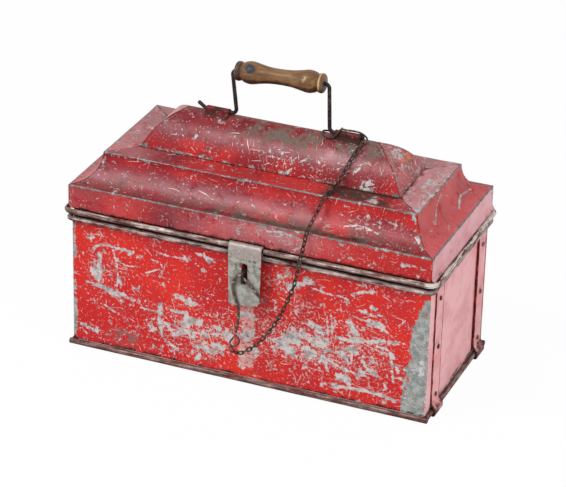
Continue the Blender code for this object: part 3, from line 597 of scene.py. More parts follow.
class Recipe:
    """A node tree of a material or a world, written as small steps that each give a socket."""

    def __init__(self, owner: Material | bpy.types.World) -> None:
        """Start on the owner's own tree."""
        owner.use_nodes = True
        self.owner = owner
        self.tree = owner.node_tree

    @property
    def shader(self) -> bpy.types.Node:
        """The material's Principled shader."""
        return self.tree.nodes["Principled BSDF"]

    def feed(self, socket: Socket, value: Feed) -> None:
        """Link a socket, or set its own number, vector or colour."""
        if isinstance(value, bpy.types.NodeSocket):
            self.tree.links.new(value, socket)
        elif socket.type == "RGBA":
            socket.default_value = (*value, 1.0)
        else:
            socket.default_value = value

    def use(self, socket: str, value: Feed) -> None:
        """Feed one of the shader's sockets."""
        self.feed(self.shader.inputs[socket], value)

    def surface(self, output: str, shader: bpy.types.Node) -> None:
        """Make a shader node the tree's surface."""
        self.feed(self.tree.nodes[output].inputs["Surface"], shader.outputs[0])

    def node(self, kind: str, inputs: dict[str | int, Feed], **options: str) -> bpy.types.Node:
        """A new node with its options set and its inputs fed.

        Args:
            kind: The node's type, without its prefix.
            inputs: What to feed, by the input's name or number.
            options: The node's own settings.

        Returns:
            The node.
        """
        node = self.tree.nodes.new(f"ShaderNode{kind}")
        for name, option in options.items():
            setattr(node, name, option)
        for name, value in inputs.items():
            self.feed(node.inputs[name], value)
        return node

    def math(self, kind: str, *values: Socket | float) -> Socket:
        """A Math node of one kind on up to three values."""
        return self.node("Math", dict(enumerate(values)), operation=kind).outputs[0]

    def add(self, a: Socket | float, b: Socket | float) -> Socket:
        """The sum of two values."""
        return self.math("ADD", a, b)

    def times(self, a: Socket | float, b: Socket | float) -> Socket:
        """The product of two values."""
        return self.math("MULTIPLY", a, b)

    def scaled(self, value: Socket, gain: float, plus: Socket | float) -> Socket:
        """A value times a gain, plus another value."""
        return self.math("MULTIPLY_ADD", value, gain, plus)

    def centred(self, noise: Socket, gain: float) -> Socket:
        """A noise about 0 in place of 0.5, times a gain."""
        return self.scaled(noise, gain, -gain / 2)

    def most(self, *masks: Socket) -> Socket:
        """The largest of several masks."""
        return reduce(lambda a, b: self.math("MAXIMUM", a, b), masks)

    def rise(self, value: Socket, low: float, high: float, top: float = 1.0) -> Socket:
        """A smooth step from 0 at low to top at high."""
        inputs = {"Value": value, "From Min": low, "From Max": high, "To Max": top}
        return self.node("MapRange", inputs, interpolation_type="SMOOTHSTEP").outputs["Result"]

    def blend(self, share: Socket, a: Socket | Triple, b: Socket | Triple) -> Socket:
        """Colour a where the share is 0 and b where it is 1."""
        return self.node("Mix", {0: share, 6: a, 7: b}, data_type="RGBA").outputs[2]

    def sheet(self) -> Socket:
        """Place on the piece's own flat sheet, in metres."""
        return self.node("UVMap", {}, uv_map="UVMap").outputs["UV"]

    def solid(self) -> Socket:
        """Place in the object's own coordinates."""
        return self.node("TexCoord", {}).outputs["Object"]

    def lanes(self, place: Socket, scale: Triple, turn: Triple = (0.0, 0.0, 0.0)) -> Socket:
        """Coordinates turned by three angles, then stretched, so that a noise on them runs in lanes."""
        turned = self.node("Mapping", {"Vector": place, "Rotation": turn}).outputs["Vector"]
        return self.node("Mapping", {"Vector": turned, "Scale": scale}).outputs["Vector"]

    def warped(self, place: Socket, scale: float, reach: float) -> Socket:
        """Coordinates pushed about by a slow noise, over up to a reach."""
        push = self.node("TexNoise", {"Vector": place, "Scale": scale}).outputs["Color"]
        inputs = {0: push, 1: (reach, reach, 0.0), 2: place}
        return self.node("VectorMath", inputs, operation="MULTIPLY_ADD").outputs["Vector"]

    def noise(
        self, place: Socket, scale: float, detail: float = 3.0, rough: float = 0.55, warp: float = 0.0
    ) -> Socket:
        """A noise texture's value."""
        inputs = {"Vector": place, "Scale": scale, "Detail": detail, "Roughness": rough, "Distortion": warp}
        return self.node("TexNoise", inputs).outputs["Fac"]

    def carried(self, kind: Wear) -> Socket:
        """A number that the mesh carries on its points."""
        return self.node("Attribute", {}, attribute_name=kind.value).outputs["Fac"]

    def raise_surface(self, height: Socket, distance: float, strength: float) -> None:
        """Bump the shader's normal by a height."""
        inputs = {"Distance": distance, "Strength": strength, "Height": height}
        self.use("Normal", self.node("Bump", inputs).outputs["Normal"])

    def seen_white(self, plain: Socket, white: Socket, glow: float = 1.0) -> bpy.types.Node:
        """A plain shader that looks white to the camera, to reflections and through glass.

        Args:
            plain: What lights the object.
            white: What is seen.
            glow: How far the camera sees it white.

        Returns:
            The node that mixes them.
        """
        path = self.node("LightPath", {}).outputs
        camera = self.times(path["Is Camera Ray"], glow)
        share = self.most(camera, path["Is Glossy Ray"], path["Is Transmission Ray"])
        return self.node("MixShader", {0: share, 1: plain, 2: white})


@dataclass(frozen=True)
class Scratch:
    """One family of thin scratches: the peaks of a noise that is drawn out along an angle.

    The noise repeats so many times a metre along and across the angle, and a peak shows above the level.
    """

    angle: float
    along: float
    across: float
    level: float


SCRATCHES = (
    Scratch(0.08, 36.0, 640.0, 0.72),
    Scratch(0.62, 58.0, 760.0, 0.725),
    Scratch(-0.5, 48.0, 700.0, 0.72),
    Scratch(1.4, 46.0, 720.0, 0.725),
    Scratch(-1.15, 64.0, 800.0, 0.735),
)


@dataclass(frozen=True)
class WornEnamel:
    """Old enamel over galvanised sheet: chips, scores, scratches, rubbed places, grime and dust, with painted
    shade, glare, sheen and light where the sheet's numbers say.
    """

    name: str
    bright: Triple
    deep: Triple
    mottle: Triple
    faded: Triple
    flush: Triple = (0.66, 0.24, 0.26)
    rubbed: Triple = (0.74, 0.36, 0.33)
    stain: Triple = (0.2, 0.03, 0.016)
    zinc: Triple = (0.60, 0.575, 0.575)
    dull_zinc: Triple = (0.31, 0.285, 0.28)
    cream: Triple = (0.66, 0.53, 0.48)
    bare_zinc: Triple = (0.215, 0.245, 0.23)
    edge: Triple = (0.43, 0.44, 0.43)
    dirt_and_shade: Triple = (0.032, 0.016, 0.011)
    dust: Triple = (0.15, 0.145, 0.14)
    chip_level: float = 0.627
    scratch_shift: float = 0.0
    speck_level: float = 0.665
    gloss: float = 0.36
    shine: float = 0.14

    def material(self) -> Material:
        """Build the finish: paint, then bare sheet, flakes, scratches, grime with painted shade, and dust
        with painted sheen over it.

        Returns:
            The node material.
        """
        r = Recipe(bpy.data.materials.new(self.name))
        flat = r.sheet()
        ragged, fine = r.noise(flat, 88.0, 9.0, 0.72, 0.4), r.noise(flat, 330.0, 6.0, 0.68)
        bare = r.rise(r.scaled(r.carried(BARE), 1.6, r.centred(ragged, 5.0)), 0.95, 1.1)
        flaked, lines = self.flaked(r, ragged, fine), self.scratches(r, flat)
        zinc = r.blend(r.rise(r.noise(flat, 140.0, 7.0, 0.72), 0.46, 0.58), self.zinc, self.dull_zinc)
        band = r.blend(r.rise(r.noise(flat, 130.0, 9.0, 0.8), 0.43, 0.58), self.bare_zinc, self.edge)
        band = r.blend(r.rise(r.noise(flat, 260.0, 8.0, 0.75), 0.56, 0.62, 0.5), band, self.dirt_and_shade)
        colour = r.blend(bare, self.paint(r, flat, fine), band)
        colour = r.blend(flaked, colour, zinc)
        colour = r.blend(lines, colour, self.cream)
        metal = r.most(bare, flaked, lines)
        # Grime, and painted shade where the grime number is put on creases, gaps and shadows.
        soot_and_shade = r.scaled(r.carried(GRIME_AND_SHADE), 1.3, r.centred(r.noise(flat, 70.0, 8.0, 0.7), 3.4))
        dirt_and_shade = r.rise(soot_and_shade, 0.42, 1.02, 0.94)
        colour = r.blend(dirt_and_shade, colour, self.dirt_and_shade)
        # Dust, and painted sheen where the dust number is put along the crown's ridge.
        bloom = r.times(r.carried(DUST_AND_SHEEN), r.rise(r.noise(flat, 70.0, 9.0, 0.78, 0.5), 0.42, 0.57))
        r.use("Base Color", r.blend(bloom, colour, self.dust))
        r.use("Metallic", r.times(metal, r.scaled(dirt_and_shade, -0.3, 0.3)))
        dull = r.add(r.times(metal, 0.12), r.add(r.times(dirt_and_shade, 0.3), r.times(bloom, 0.3)))
        r.use("Roughness", r.add(dull, r.scaled(fine, 0.2, self.gloss - 0.1)))
        r.use("Specular IOR Level", self.shine)
        r.raise_surface(r.scaled(metal, -0.5, r.times(r.noise(flat, 45.0, 3.0), 0.4)), 0.0008, 0.35)
        return r.owner

    def paint(self, r: Recipe, flat: Socket, fine: Socket) -> Socket:
        """The paint itself: two reds in clouds, the brighter one also painted light where the sheet says,
        mottled and specked, faded pink, which also stands for painted glare, and rubbed where the sheet says.

        Args:
            r: The recipe to add to.
            flat: Place on the sheet.
            fine: A fine noise.

        Returns:
            The colour's socket.
        """
        cloud, fresh, fade = r.noise(flat, 34.0, 7.0, 0.68), r.carried(FRESH_AND_LIT), r.carried(FADE)
        # Painted light: the fresh number lifts faces that turn to the light towards the bright red.
        tone = r.scaled(fresh, 0.2, r.noise(flat, 9.0, 3.0))
        paint = r.blend(r.rise(tone, 0.4, 0.62), self.deep, self.bright)
        paint = r.blend(r.rise(r.scaled(fresh, -0.14, cloud), 0.48, 0.62, 0.65), paint, self.mottle)
        paint = r.blend(r.rise(r.noise(flat, 380.0, 5.0, 0.7), 0.55, 0.66, 0.45), paint, self.stain)
        # Faded pink, which on the ends and across the lid's cove and crown is painted glare.
        bleach_and_glare = r.rise(r.scaled(fade, 0.12, r.noise(flat, 75.0, 8.0, 0.72)), 0.36, 0.53)
        pink = r.blend(r.rise(r.noise(flat, 26.0, 7.0, 0.66), 0.45, 0.6, 0.6), self.faded, self.flush)
        paint = r.blend(r.times(fade, bleach_and_glare), paint, pink)
        thin = r.add(r.carried(RUB_AND_SHEEN), r.add(r.centred(cloud, 3.5), r.centred(fine, 3.5)))
        return r.blend(r.rise(thin, 0.45, 0.95, 0.85), paint, self.rubbed)

    def flaked(self, r: Recipe, ragged: Socket, fine: Socket) -> Socket:
        """Where paint is off: chips and flecks by chance, and the scores, both with ragged edges.

        Args:
            r: The recipe to add to.
            ragged: A coarse noise with much fine detail.
            fine: A fine noise.

        Returns:
            The mask's socket.
        """
        chips, level = r.carried(CHIPS), self.chip_level
        chip = r.rise(r.scaled(chips, 0.11, ragged), level, level + 0.012)
        fleck = r.rise(r.scaled(chips, 0.09, fine), level, level + 0.025)
        broken = r.add(r.centred(ragged, 5.0), r.centred(fine, 6.0))
        score = r.scaled(r.carried(SCORE), 1.4, r.scaled(chips, 0.5, broken))
        return r.most(chip, fleck, r.rise(score, 0.88, 1.08))

    def scratches(self, r: Recipe, flat: Socket) -> Socket:
        """The scratch families on wavering coordinates, and tiny specks, more where the sheet is chipped.

        Args:
            r: The recipe to add to.
            flat: Place on the sheet.

        Returns:
            The mask's socket.
        """
        chips, wavering = r.carried(CHIPS), r.warped(flat, 18.0, 0.03)
        masks = []
        for kind in SCRATCHES:
            lane = r.lanes(wavering, (kind.along, kind.across, 1.0), (0.0, 0.0, kind.angle))
            peak = r.scaled(chips, 0.08, r.noise(lane, 1.0, 1.5, 0.45))
            level = kind.level + self.scratch_shift
            masks.append(r.rise(peak, level, level + 0.05, 0.9))
        speck = r.scaled(chips, 0.05, r.noise(flat, 620.0, 3.0, 0.6))
        return r.most(*masks, r.rise(speck, self.speck_level, self.speck_level + 0.05, 0.85))


@dataclass(frozen=True)
class RolledSteel:
    """A rolled edge: brown tarnish, rubbed pale in streaks along its crest, which is also a painted
    highlight, dark away from it as painted shade, with traces of paint.
    """

    name: str
    tarnish: Triple = (0.19, 0.12, 0.103)
    dark: Triple = (0.045, 0.022, 0.018)
    worn: Triple = (0.31, 0.235, 0.21)
    cream: Triple = (0.66, 0.57, 0.52)
    paint: Triple = (0.20, 0.03, 0.028)
    worn_level: float = 0.75
    cream_level: float = 1.2

    def material(self) -> Material:
        """Build the finish.

        Returns:
            The node material.
        """
        r = Recipe(bpy.data.materials.new(self.name))
        run = r.sheet()
        streak = r.noise(r.lanes(run, (45.0, 700.0, 1.0)), 1.0, 4.0, 0.6)
        cloud = r.noise(run, 60.0, 8.0, 0.7)
        crest = r.add(r.carried(RUB_AND_SHEEN), r.add(r.centred(streak, 4.2), r.centred(cloud, 4.0)))
        colour = r.blend(r.rise(r.noise(run, 50.0, 7.0, 0.7), 0.52, 0.58), self.tarnish, self.paint)
        # Painted shade: dark on the side of the roll that turns away from its crest.
        colour = r.blend(r.rise(crest, 0.12, 0.72), self.dark, colour)
        rubbed = r.rise(crest, self.worn_level, self.worn_level + 0.3)
        colour = r.blend(rubbed, colour, self.worn)
        # Cream along the crest: rubbed metal and a painted highlight.
        polished_and_lit = r.scaled(r.carried(BARE), 1.7, crest)
        bright = r.rise(polished_and_lit, self.cream_level, self.cream_level + 0.35)
        r.use("Base Color", r.blend(bright, colour, self.cream))
        r.use("Metallic", r.times(rubbed, 0.1))
        r.use("Roughness", r.scaled(rubbed, -0.2, 0.6))
        r.use("Specular IOR Level", 0.15)
        r.raise_surface(r.add(cloud, r.times(streak, 0.6)), 0.0006, 0.45)
        return r.owner


@dataclass(frozen=True)
class OldTin:
    """The sheets' unpainted inside: dull tin in clouds, with brown rust in spots."""

    name: str
    pale: Triple = (0.27, 0.255, 0.235)
    cloud: Triple = (0.13, 0.115, 0.10)
    rust: Triple = (0.10, 0.042, 0.02)

    def material(self) -> Material:
        """Build the finish.

        Returns:
            The node material.
        """
        r = Recipe(bpy.data.materials.new(self.name))
        flat = r.sheet()
        cloud, spot = r.noise(flat, 40.0, 8.0, 0.7), r.noise(flat, 130.0, 8.0, 0.72)
        colour = r.blend(r.rise(cloud, 0.42, 0.58), self.pale, self.cloud)
        rust = r.rise(r.scaled(cloud, 0.4, spot), 0.73, 0.82, 0.85)
        r.use("Base Color", r.blend(rust, colour, self.rust))
        r.use("Metallic", r.scaled(rust, -0.35, 0.35))
        r.use("Roughness", r.scaled(rust, 0.25, 0.5))
        r.raise_surface(r.add(cloud, r.times(spot, 0.4)), 0.0005, 0.3)
        return r.owner


@dataclass(frozen=True)
class DullZinc:
    """A galvanised plate: cloudy grey-green zinc, paler where it was handled, with a rusty bend."""

    name: str
    pale: Triple = (0.40, 0.40, 0.36)
    cloud: Triple = (0.22, 0.225, 0.195)
    handled: Triple = (0.372, 0.300, 0.276)
    rust: Triple = (0.15, 0.055, 0.03)

    def material(self) -> Material:
        """Build the finish.

        Returns:
            The node material.
        """
        r = Recipe(bpy.data.materials.new(self.name))
        flat = r.sheet()
        crystal, stain = r.noise(flat, 260.0, 6.0, 0.72), r.noise(flat, 85.0, 8.0, 0.68)
        colour = r.blend(r.rise(stain, 0.46, 0.56), self.pale, self.cloud)
        handled = r.add(r.carried(FADE), r.add(r.centred(stain, 3.5), r.centred(crystal, 3.0)))
        colour = r.blend(r.rise(handled, 0.3, 0.8), colour, self.handled)
        colour = r.blend(r.rise(crystal, 0.52, 0.6, 0.7), colour, self.cloud)
        rust = r.add(r.carried(GRIME_AND_SHADE), r.centred(r.noise(flat, 170.0, 7.0, 0.72), 4.5))
        rust = r.rise(rust, 0.35, 0.8, 0.9)
        r.use("Base Color", r.blend(rust, colour, self.rust))
        r.use("Metallic", r.scaled(rust, -0.3, 0.3))
        r.use("Roughness", r.scaled(rust, 0.3, 0.46))
        r.raise_surface(r.add(stain, r.times(crystal, 0.3)), 0.0005, 0.3)
        return r.owner


@dataclass(frozen=True)
class DarkWire:
    """Old wire: dark scale with brown rust and rubbed places."""

    name: str
    scale: Triple = (0.013, 0.010, 0.009)
    rust: Triple = (0.042, 0.025, 0.019)
    rubbed: Triple = (0.15, 0.115, 0.10)
    rubbed_level: float = 0.6

    def material(self) -> Material:
        """Build the finish.

        Returns:
            The node material.
        """
        r = Recipe(bpy.data.materials.new(self.name))
        here = r.solid()
        cloud, grain = r.noise(here, 150.0, 7.0, 0.68), r.noise(here, 520.0, 4.0, 0.6)
        colour = r.blend(r.rise(cloud, 0.46, 0.56), self.scale, self.rust)
        bright = r.rise(r.noise(here, 230.0, 6.0, 0.7), self.rubbed_level, self.rubbed_level + 0.07)
        r.use("Base Color", r.blend(bright, colour, self.rubbed))
        r.use("Metallic", r.times(bright, 0.4))
        r.use("Roughness", r.scaled(cloud, 0.3, 0.3))
        r.use("Specular IOR Level", 0.2)
        r.raise_surface(r.add(cloud, grain), 0.0003, 0.5)
        return r.owner


@dataclass(frozen=True)
class OldWood:
    """A turned grip: golden brown with long grain, dark below as painted shade and at its ends, with a
    blue-black stain and a painted highlight.
    """

    name: str
    tilt: float
    gold: Triple = (0.235, 0.118, 0.044)
    brown: Triple = (0.12, 0.053, 0.02)
    pale: Triple = (0.54, 0.39, 0.18)
    dark: Triple = (0.035, 0.014, 0.007)
    ink: Triple = (0.018, 0.022, 0.03)

    def material(self) -> Material:
        """Build the finish.

        Returns:
            The node material.
        """
        r = Recipe(bpy.data.materials.new(self.name))
        here = r.solid()
        grain = r.noise(r.lanes(here, (14.0, 420.0, 420.0), (0.0, self.tilt, 0.0)), 1.0, 6.0, 0.65, 0.3)
        cloud, speck = r.noise(here, 75.0, 6.0, 0.65), r.noise(here, 190.0, 6.0, 0.68)
        colour = r.blend(r.rise(grain, 0.42, 0.62), self.gold, self.brown)
        colour = r.blend(r.rise(cloud, 0.46, 0.62, 0.65), colour, self.brown)
        # Pale where rubbed, and where a painted highlight is put.
        rubbed = r.rise(r.add(r.carried(RUB_AND_SHEEN), r.centred(speck, 1.5)), 0.4, 0.8)
        colour = r.blend(rubbed, colour, self.pale)
        # Dark in painted shade below and in the grooves and bore.
        soot_and_shade = r.rise(r.add(r.carried(GRIME_AND_SHADE), r.centred(speck, 2.0)), 0.25, 0.8, 0.94)
        colour = r.blend(soot_and_shade, colour, self.dark)
        stain = r.rise(r.add(r.carried(BARE), r.centred(speck, 0.8)), 0.4, 0.6)
        r.use("Base Color", r.blend(stain, colour, self.ink))
        r.use("Roughness", r.scaled(grain, 0.25, 0.3))
        r.use("Specular IOR Level", 0.3)
        r.raise_surface(grain, 0.0002, 0.3)
        return r.owner


@dataclass(frozen=True)
class Finishes:
    """The box's materials, each made once."""

    red: Material
    crimson: Material
    hip: Material
    rolled: Material
    rim_rolled: Material
    foot_rolled: Material
    lining: Material
    plate: Material
    wire: Material
    hook: Material
    chain: Material
    rivet: Material
    wood: Material

    @property
    def body_sheet(self) -> tuple[Material, ...]:
        """The body's sheets outside and inside."""
        return self.red, self.lining

    @property
    def lid_sheet(self) -> tuple[Material, ...]:
        """The lid's sheets outside and inside."""
        return self.crimson, self.lining

    @staticmethod
    def make(grip_tilt: float) -> Finishes:
        """Make every material, in the order of the fields.

        Args:
            grip_tilt: The grip's slope, which its grain follows.

        Returns:
            The set of materials.
        """
        reds = ((0.70, 0.028, 0.018), (0.56, 0.016, 0.017), (0.47, 0.022, 0.030), (0.84, 0.45, 0.47))
        lid_reds = ((0.50, 0.020, 0.020), (0.24, 0.009, 0.017), (0.13, 0.010, 0.017), (0.72, 0.37, 0.40))
        lid_zinc = {"zinc": (0.50, 0.48, 0.47), "bare_zinc": (0.12, 0.105, 0.10), "edge": (0.25, 0.23, 0.225)}
        lid_levels = {"chip_level": 0.642, "scratch_shift": 0.012, "speck_level": 0.66, "shine": 0.16}
        lid_wear = lid_zinc | lid_levels | {"flush": (0.60, 0.22, 0.24), "dust": (0.15, 0.128, 0.102)}
        rim = {"tarnish": (0.29, 0.195, 0.18), "worn": (0.41, 0.315, 0.295), "cream": (0.6, 0.52, 0.48)}
        foot = {"tarnish": (0.125, 0.06, 0.052), "worn": (0.22, 0.13, 0.115), "cream": (0.4, 0.3, 0.27)}
        made = (
            WornEnamel("worn_red_enamel", *reds),
            WornEnamel("worn_crimson_enamel", *lid_reds, **lid_wear),
            WornEnamel("worn_hip_enamel", *lid_reds, rubbed=(0.80, 0.16, 0.045), **lid_wear),
            RolledSteel("rolled_edge_steel"),
            RolledSteel("rolled_rim_steel", **rim),
            RolledSteel("rolled_foot_steel", **foot, cream_level=1.3),
            OldTin("old_tin_lining"),
            DullZinc("dull_zinc_plate"),
            DarkWire("dark_wire"),
            DarkWire("hook_steel", (0.055, 0.032, 0.026), (0.13, 0.075, 0.058), (0.36, 0.28, 0.25), 0.535),
            DarkWire("chain_steel", (0.022, 0.014, 0.012), (0.07, 0.034, 0.024), (0.22, 0.17, 0.15), 0.56),
            DarkWire("rivet_steel", (0.05, 0.014, 0.014), (0.16, 0.035, 0.034), (0.36, 0.24, 0.23), 0.57),
            OldWood("turned_wood", grip_tilt),
        )
        return Finishes(*(finish.material() for finish in made))


# Sub-assemblies


@dataclass(frozen=True)
class BoxSizes:
    """Sizes that the sub-assemblies share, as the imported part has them."""

    sheet: float = 0.0008
    gap: float = 0.0003
    bend: float = 0.0016
    half_length: float = 0.177
    half_depth: float = 0.0795
    base_z: float = 0.0045
    base_radius: float = 0.0028
    base_proud: float = 0.0004
    panel_bottom: float = 0.0076
    rim_z: float = 0.1356
    rim_radius: float = 0.00235
    upstand_top: float = 0.143
    lid_half_length: float = 0.1786
    lid_half_depth: float = 0.0828
    lid_bead_z: float = 0.144
    lid_bead_radius: float = 0.0025
    lid_bead_proud: float = 0.0016
    lid_bead_end_proud: float = 0.0034
    upper_ledge_z: float = 0.1981
    hasp_x: float = 0.0012
    hasp_knuckle: float = 0.0041
    hasp_half_gap: float = 0.0173
    hook_radius: float = 0.0014
    strap_width: float = 0.021
    strap_middles: Pair = (-0.0532, 0.0639)

    @property
    def flange_top(self) -> float:
        """Where the corner flanges stop, under the rim bead."""
        return self.rim_z - self.rim_radius - self.gap

    @property
    def end_panel_x(self) -> float:
        """The end panels' outer face."""
        return self.half_length - self.sheet - self.gap

    @property
    def lid_bead_y(self) -> float:
        """The lid bead's axis in front and behind."""
        return self.lid_half_depth + self.lid_bead_proud

    @property
    def hook_y(self) -> float:
        """The plane of the hook's wire, in front of the hasp."""
        return -self.lid_bead_y - self.hasp_knuckle - self.gap - self.hook_radius

    @property
    def mitre_slack(self) -> float:
        """How far a mitred edge stays back from the mitre's line."""
        return self.gap / math.sqrt(2)


FRONT_SCORES = scores(
    (2.4, -161, 119, -156, 118), (1.2, -155, 107, -147, 113, -130, 113, -114, 112),
    (1.8, -149, 103, -149, 88, -150, 76), (2.8, -156, 84, -151, 78), (1.9, -154, 70, -142, 68, -130, 65),
    (0.7, -135, 110, -130, 91, -131, 70, -129, 62), (0.6, -134, 102, -123, 97, -107, 98),
    (0.6, -96, 109, -86, 106, -85, 95), (0.6, -102, 93, -88, 100), (1.7, -128, 66, -117, 63, -108, 62),
    (0.8, -144, 50, -132, 45), (0.7, -162, 71, -140, 70), (1.6, -168, 25, -165, 24),
    (1.6, -161, 22, -152, 20), (1.0, -50, 125, -40, 123, -32, 120), (0.8, -43, 127, -39, 119),
    (0.7, -92, 119, -80, 116, -58, 117), (1.5, -44, 109, -41, 108), (3.0, -70, 76, -65, 75),
    (2.4, -59, 71, -52, 72), (1.6, -75, 60, -60, 61), (2.8, -60, 55, -46, 53), (1.6, -87, 63, -88, 45),
    (1.2, -87, 45, -83, 29, -68, 20), (0.9, -82, 46, -50, 42, -17, 48), (0.8, -110, 56, -87, 55),
    (2.2, -52, 28, -40, 27), (2.0, -40, 25, -32, 26), (2.4, -31, 33, -21, 33), (3.0, 58, 122, 64, 120),
    (1.9, 47, 115, 56, 117), (0.7, 62, 115, 80, 112, 97, 111, 98, 104),
    (1.4, 103, 116, 112, 121, 126, 124), (1.6, 121, 108, 126, 107), (1.3, 110, 102, 118, 101, 126, 99),
    (2.8, 121, 92, 131, 91), (0.7, 131, 91, 143, 82), (0.7, 104, 95, 121, 92), (2.4, 101, 88, 106, 80),
    (1.6, 90, 70, 105, 70, 134, 75, 154, 78), (2.8, 103, 62, 108, 58), (0.8, 105, 57, 104, 46),
    (3.4, 38, 58, 52, 56), (3.8, 58, 50, 66, 46), (3.0, 64, 78, 72, 73), (2.2, 64, 61, 77, 58),
    (3.0, 34, 49, 45, 45), (0.6, 79, 91, 81, 70, 80, 52), (0.6, 83, 92, 85, 72),
    (1.2, 77, 48, 79, 41, 82, 33), (0.8, 81, 45, 100, 38, 120, 36), (3.0, 93, 29, 102, 27),
    (1.4, 88, 19, 116, 21, 134, 20, 147, 18), (1.0, 128, 70, 140, 67, 144, 50, 145, 37),
    (1.3, 115, 51, 119, 45, 129, 40), (0.9, 124, 58, 126, 52), (1.3, 148, 53, 150, 48),
    # The last row, by the right corner, is a painted highlight drawn as a score.
    (0.8, 137, 33, 139, 27), (2.0, 172.5, 63, 172, 50),
)
LID_SCORES = {
    "front": scores(
        (1.3, 150, 11, 158, 13), (0.6, 158, 13, 172, 11), (0.9, 20, 17, 36, 19, 52, 16),
        (2.4, 104, 74, 112, 72), (0.7, 88, 41, 104, 44, 120, 40),
    ),
    "right": scores(
        (0.85, 2, 58, -13, 53, -26, 44, -31, 42.5, -31, 46), (0.85, 57, 38, 36, 41, 18.5, 35),
        (1.0, -21, 30, -18, 31), (1.6, -6, 80, 14, 78),
    ),
    "back": (),
    "left": (),
}


@dataclass
class Assembly:
    """A sub-assembly of the box, with the sizes and finishes that it shares with the others."""

    sizes: BoxSizes
    finishes: Finishes


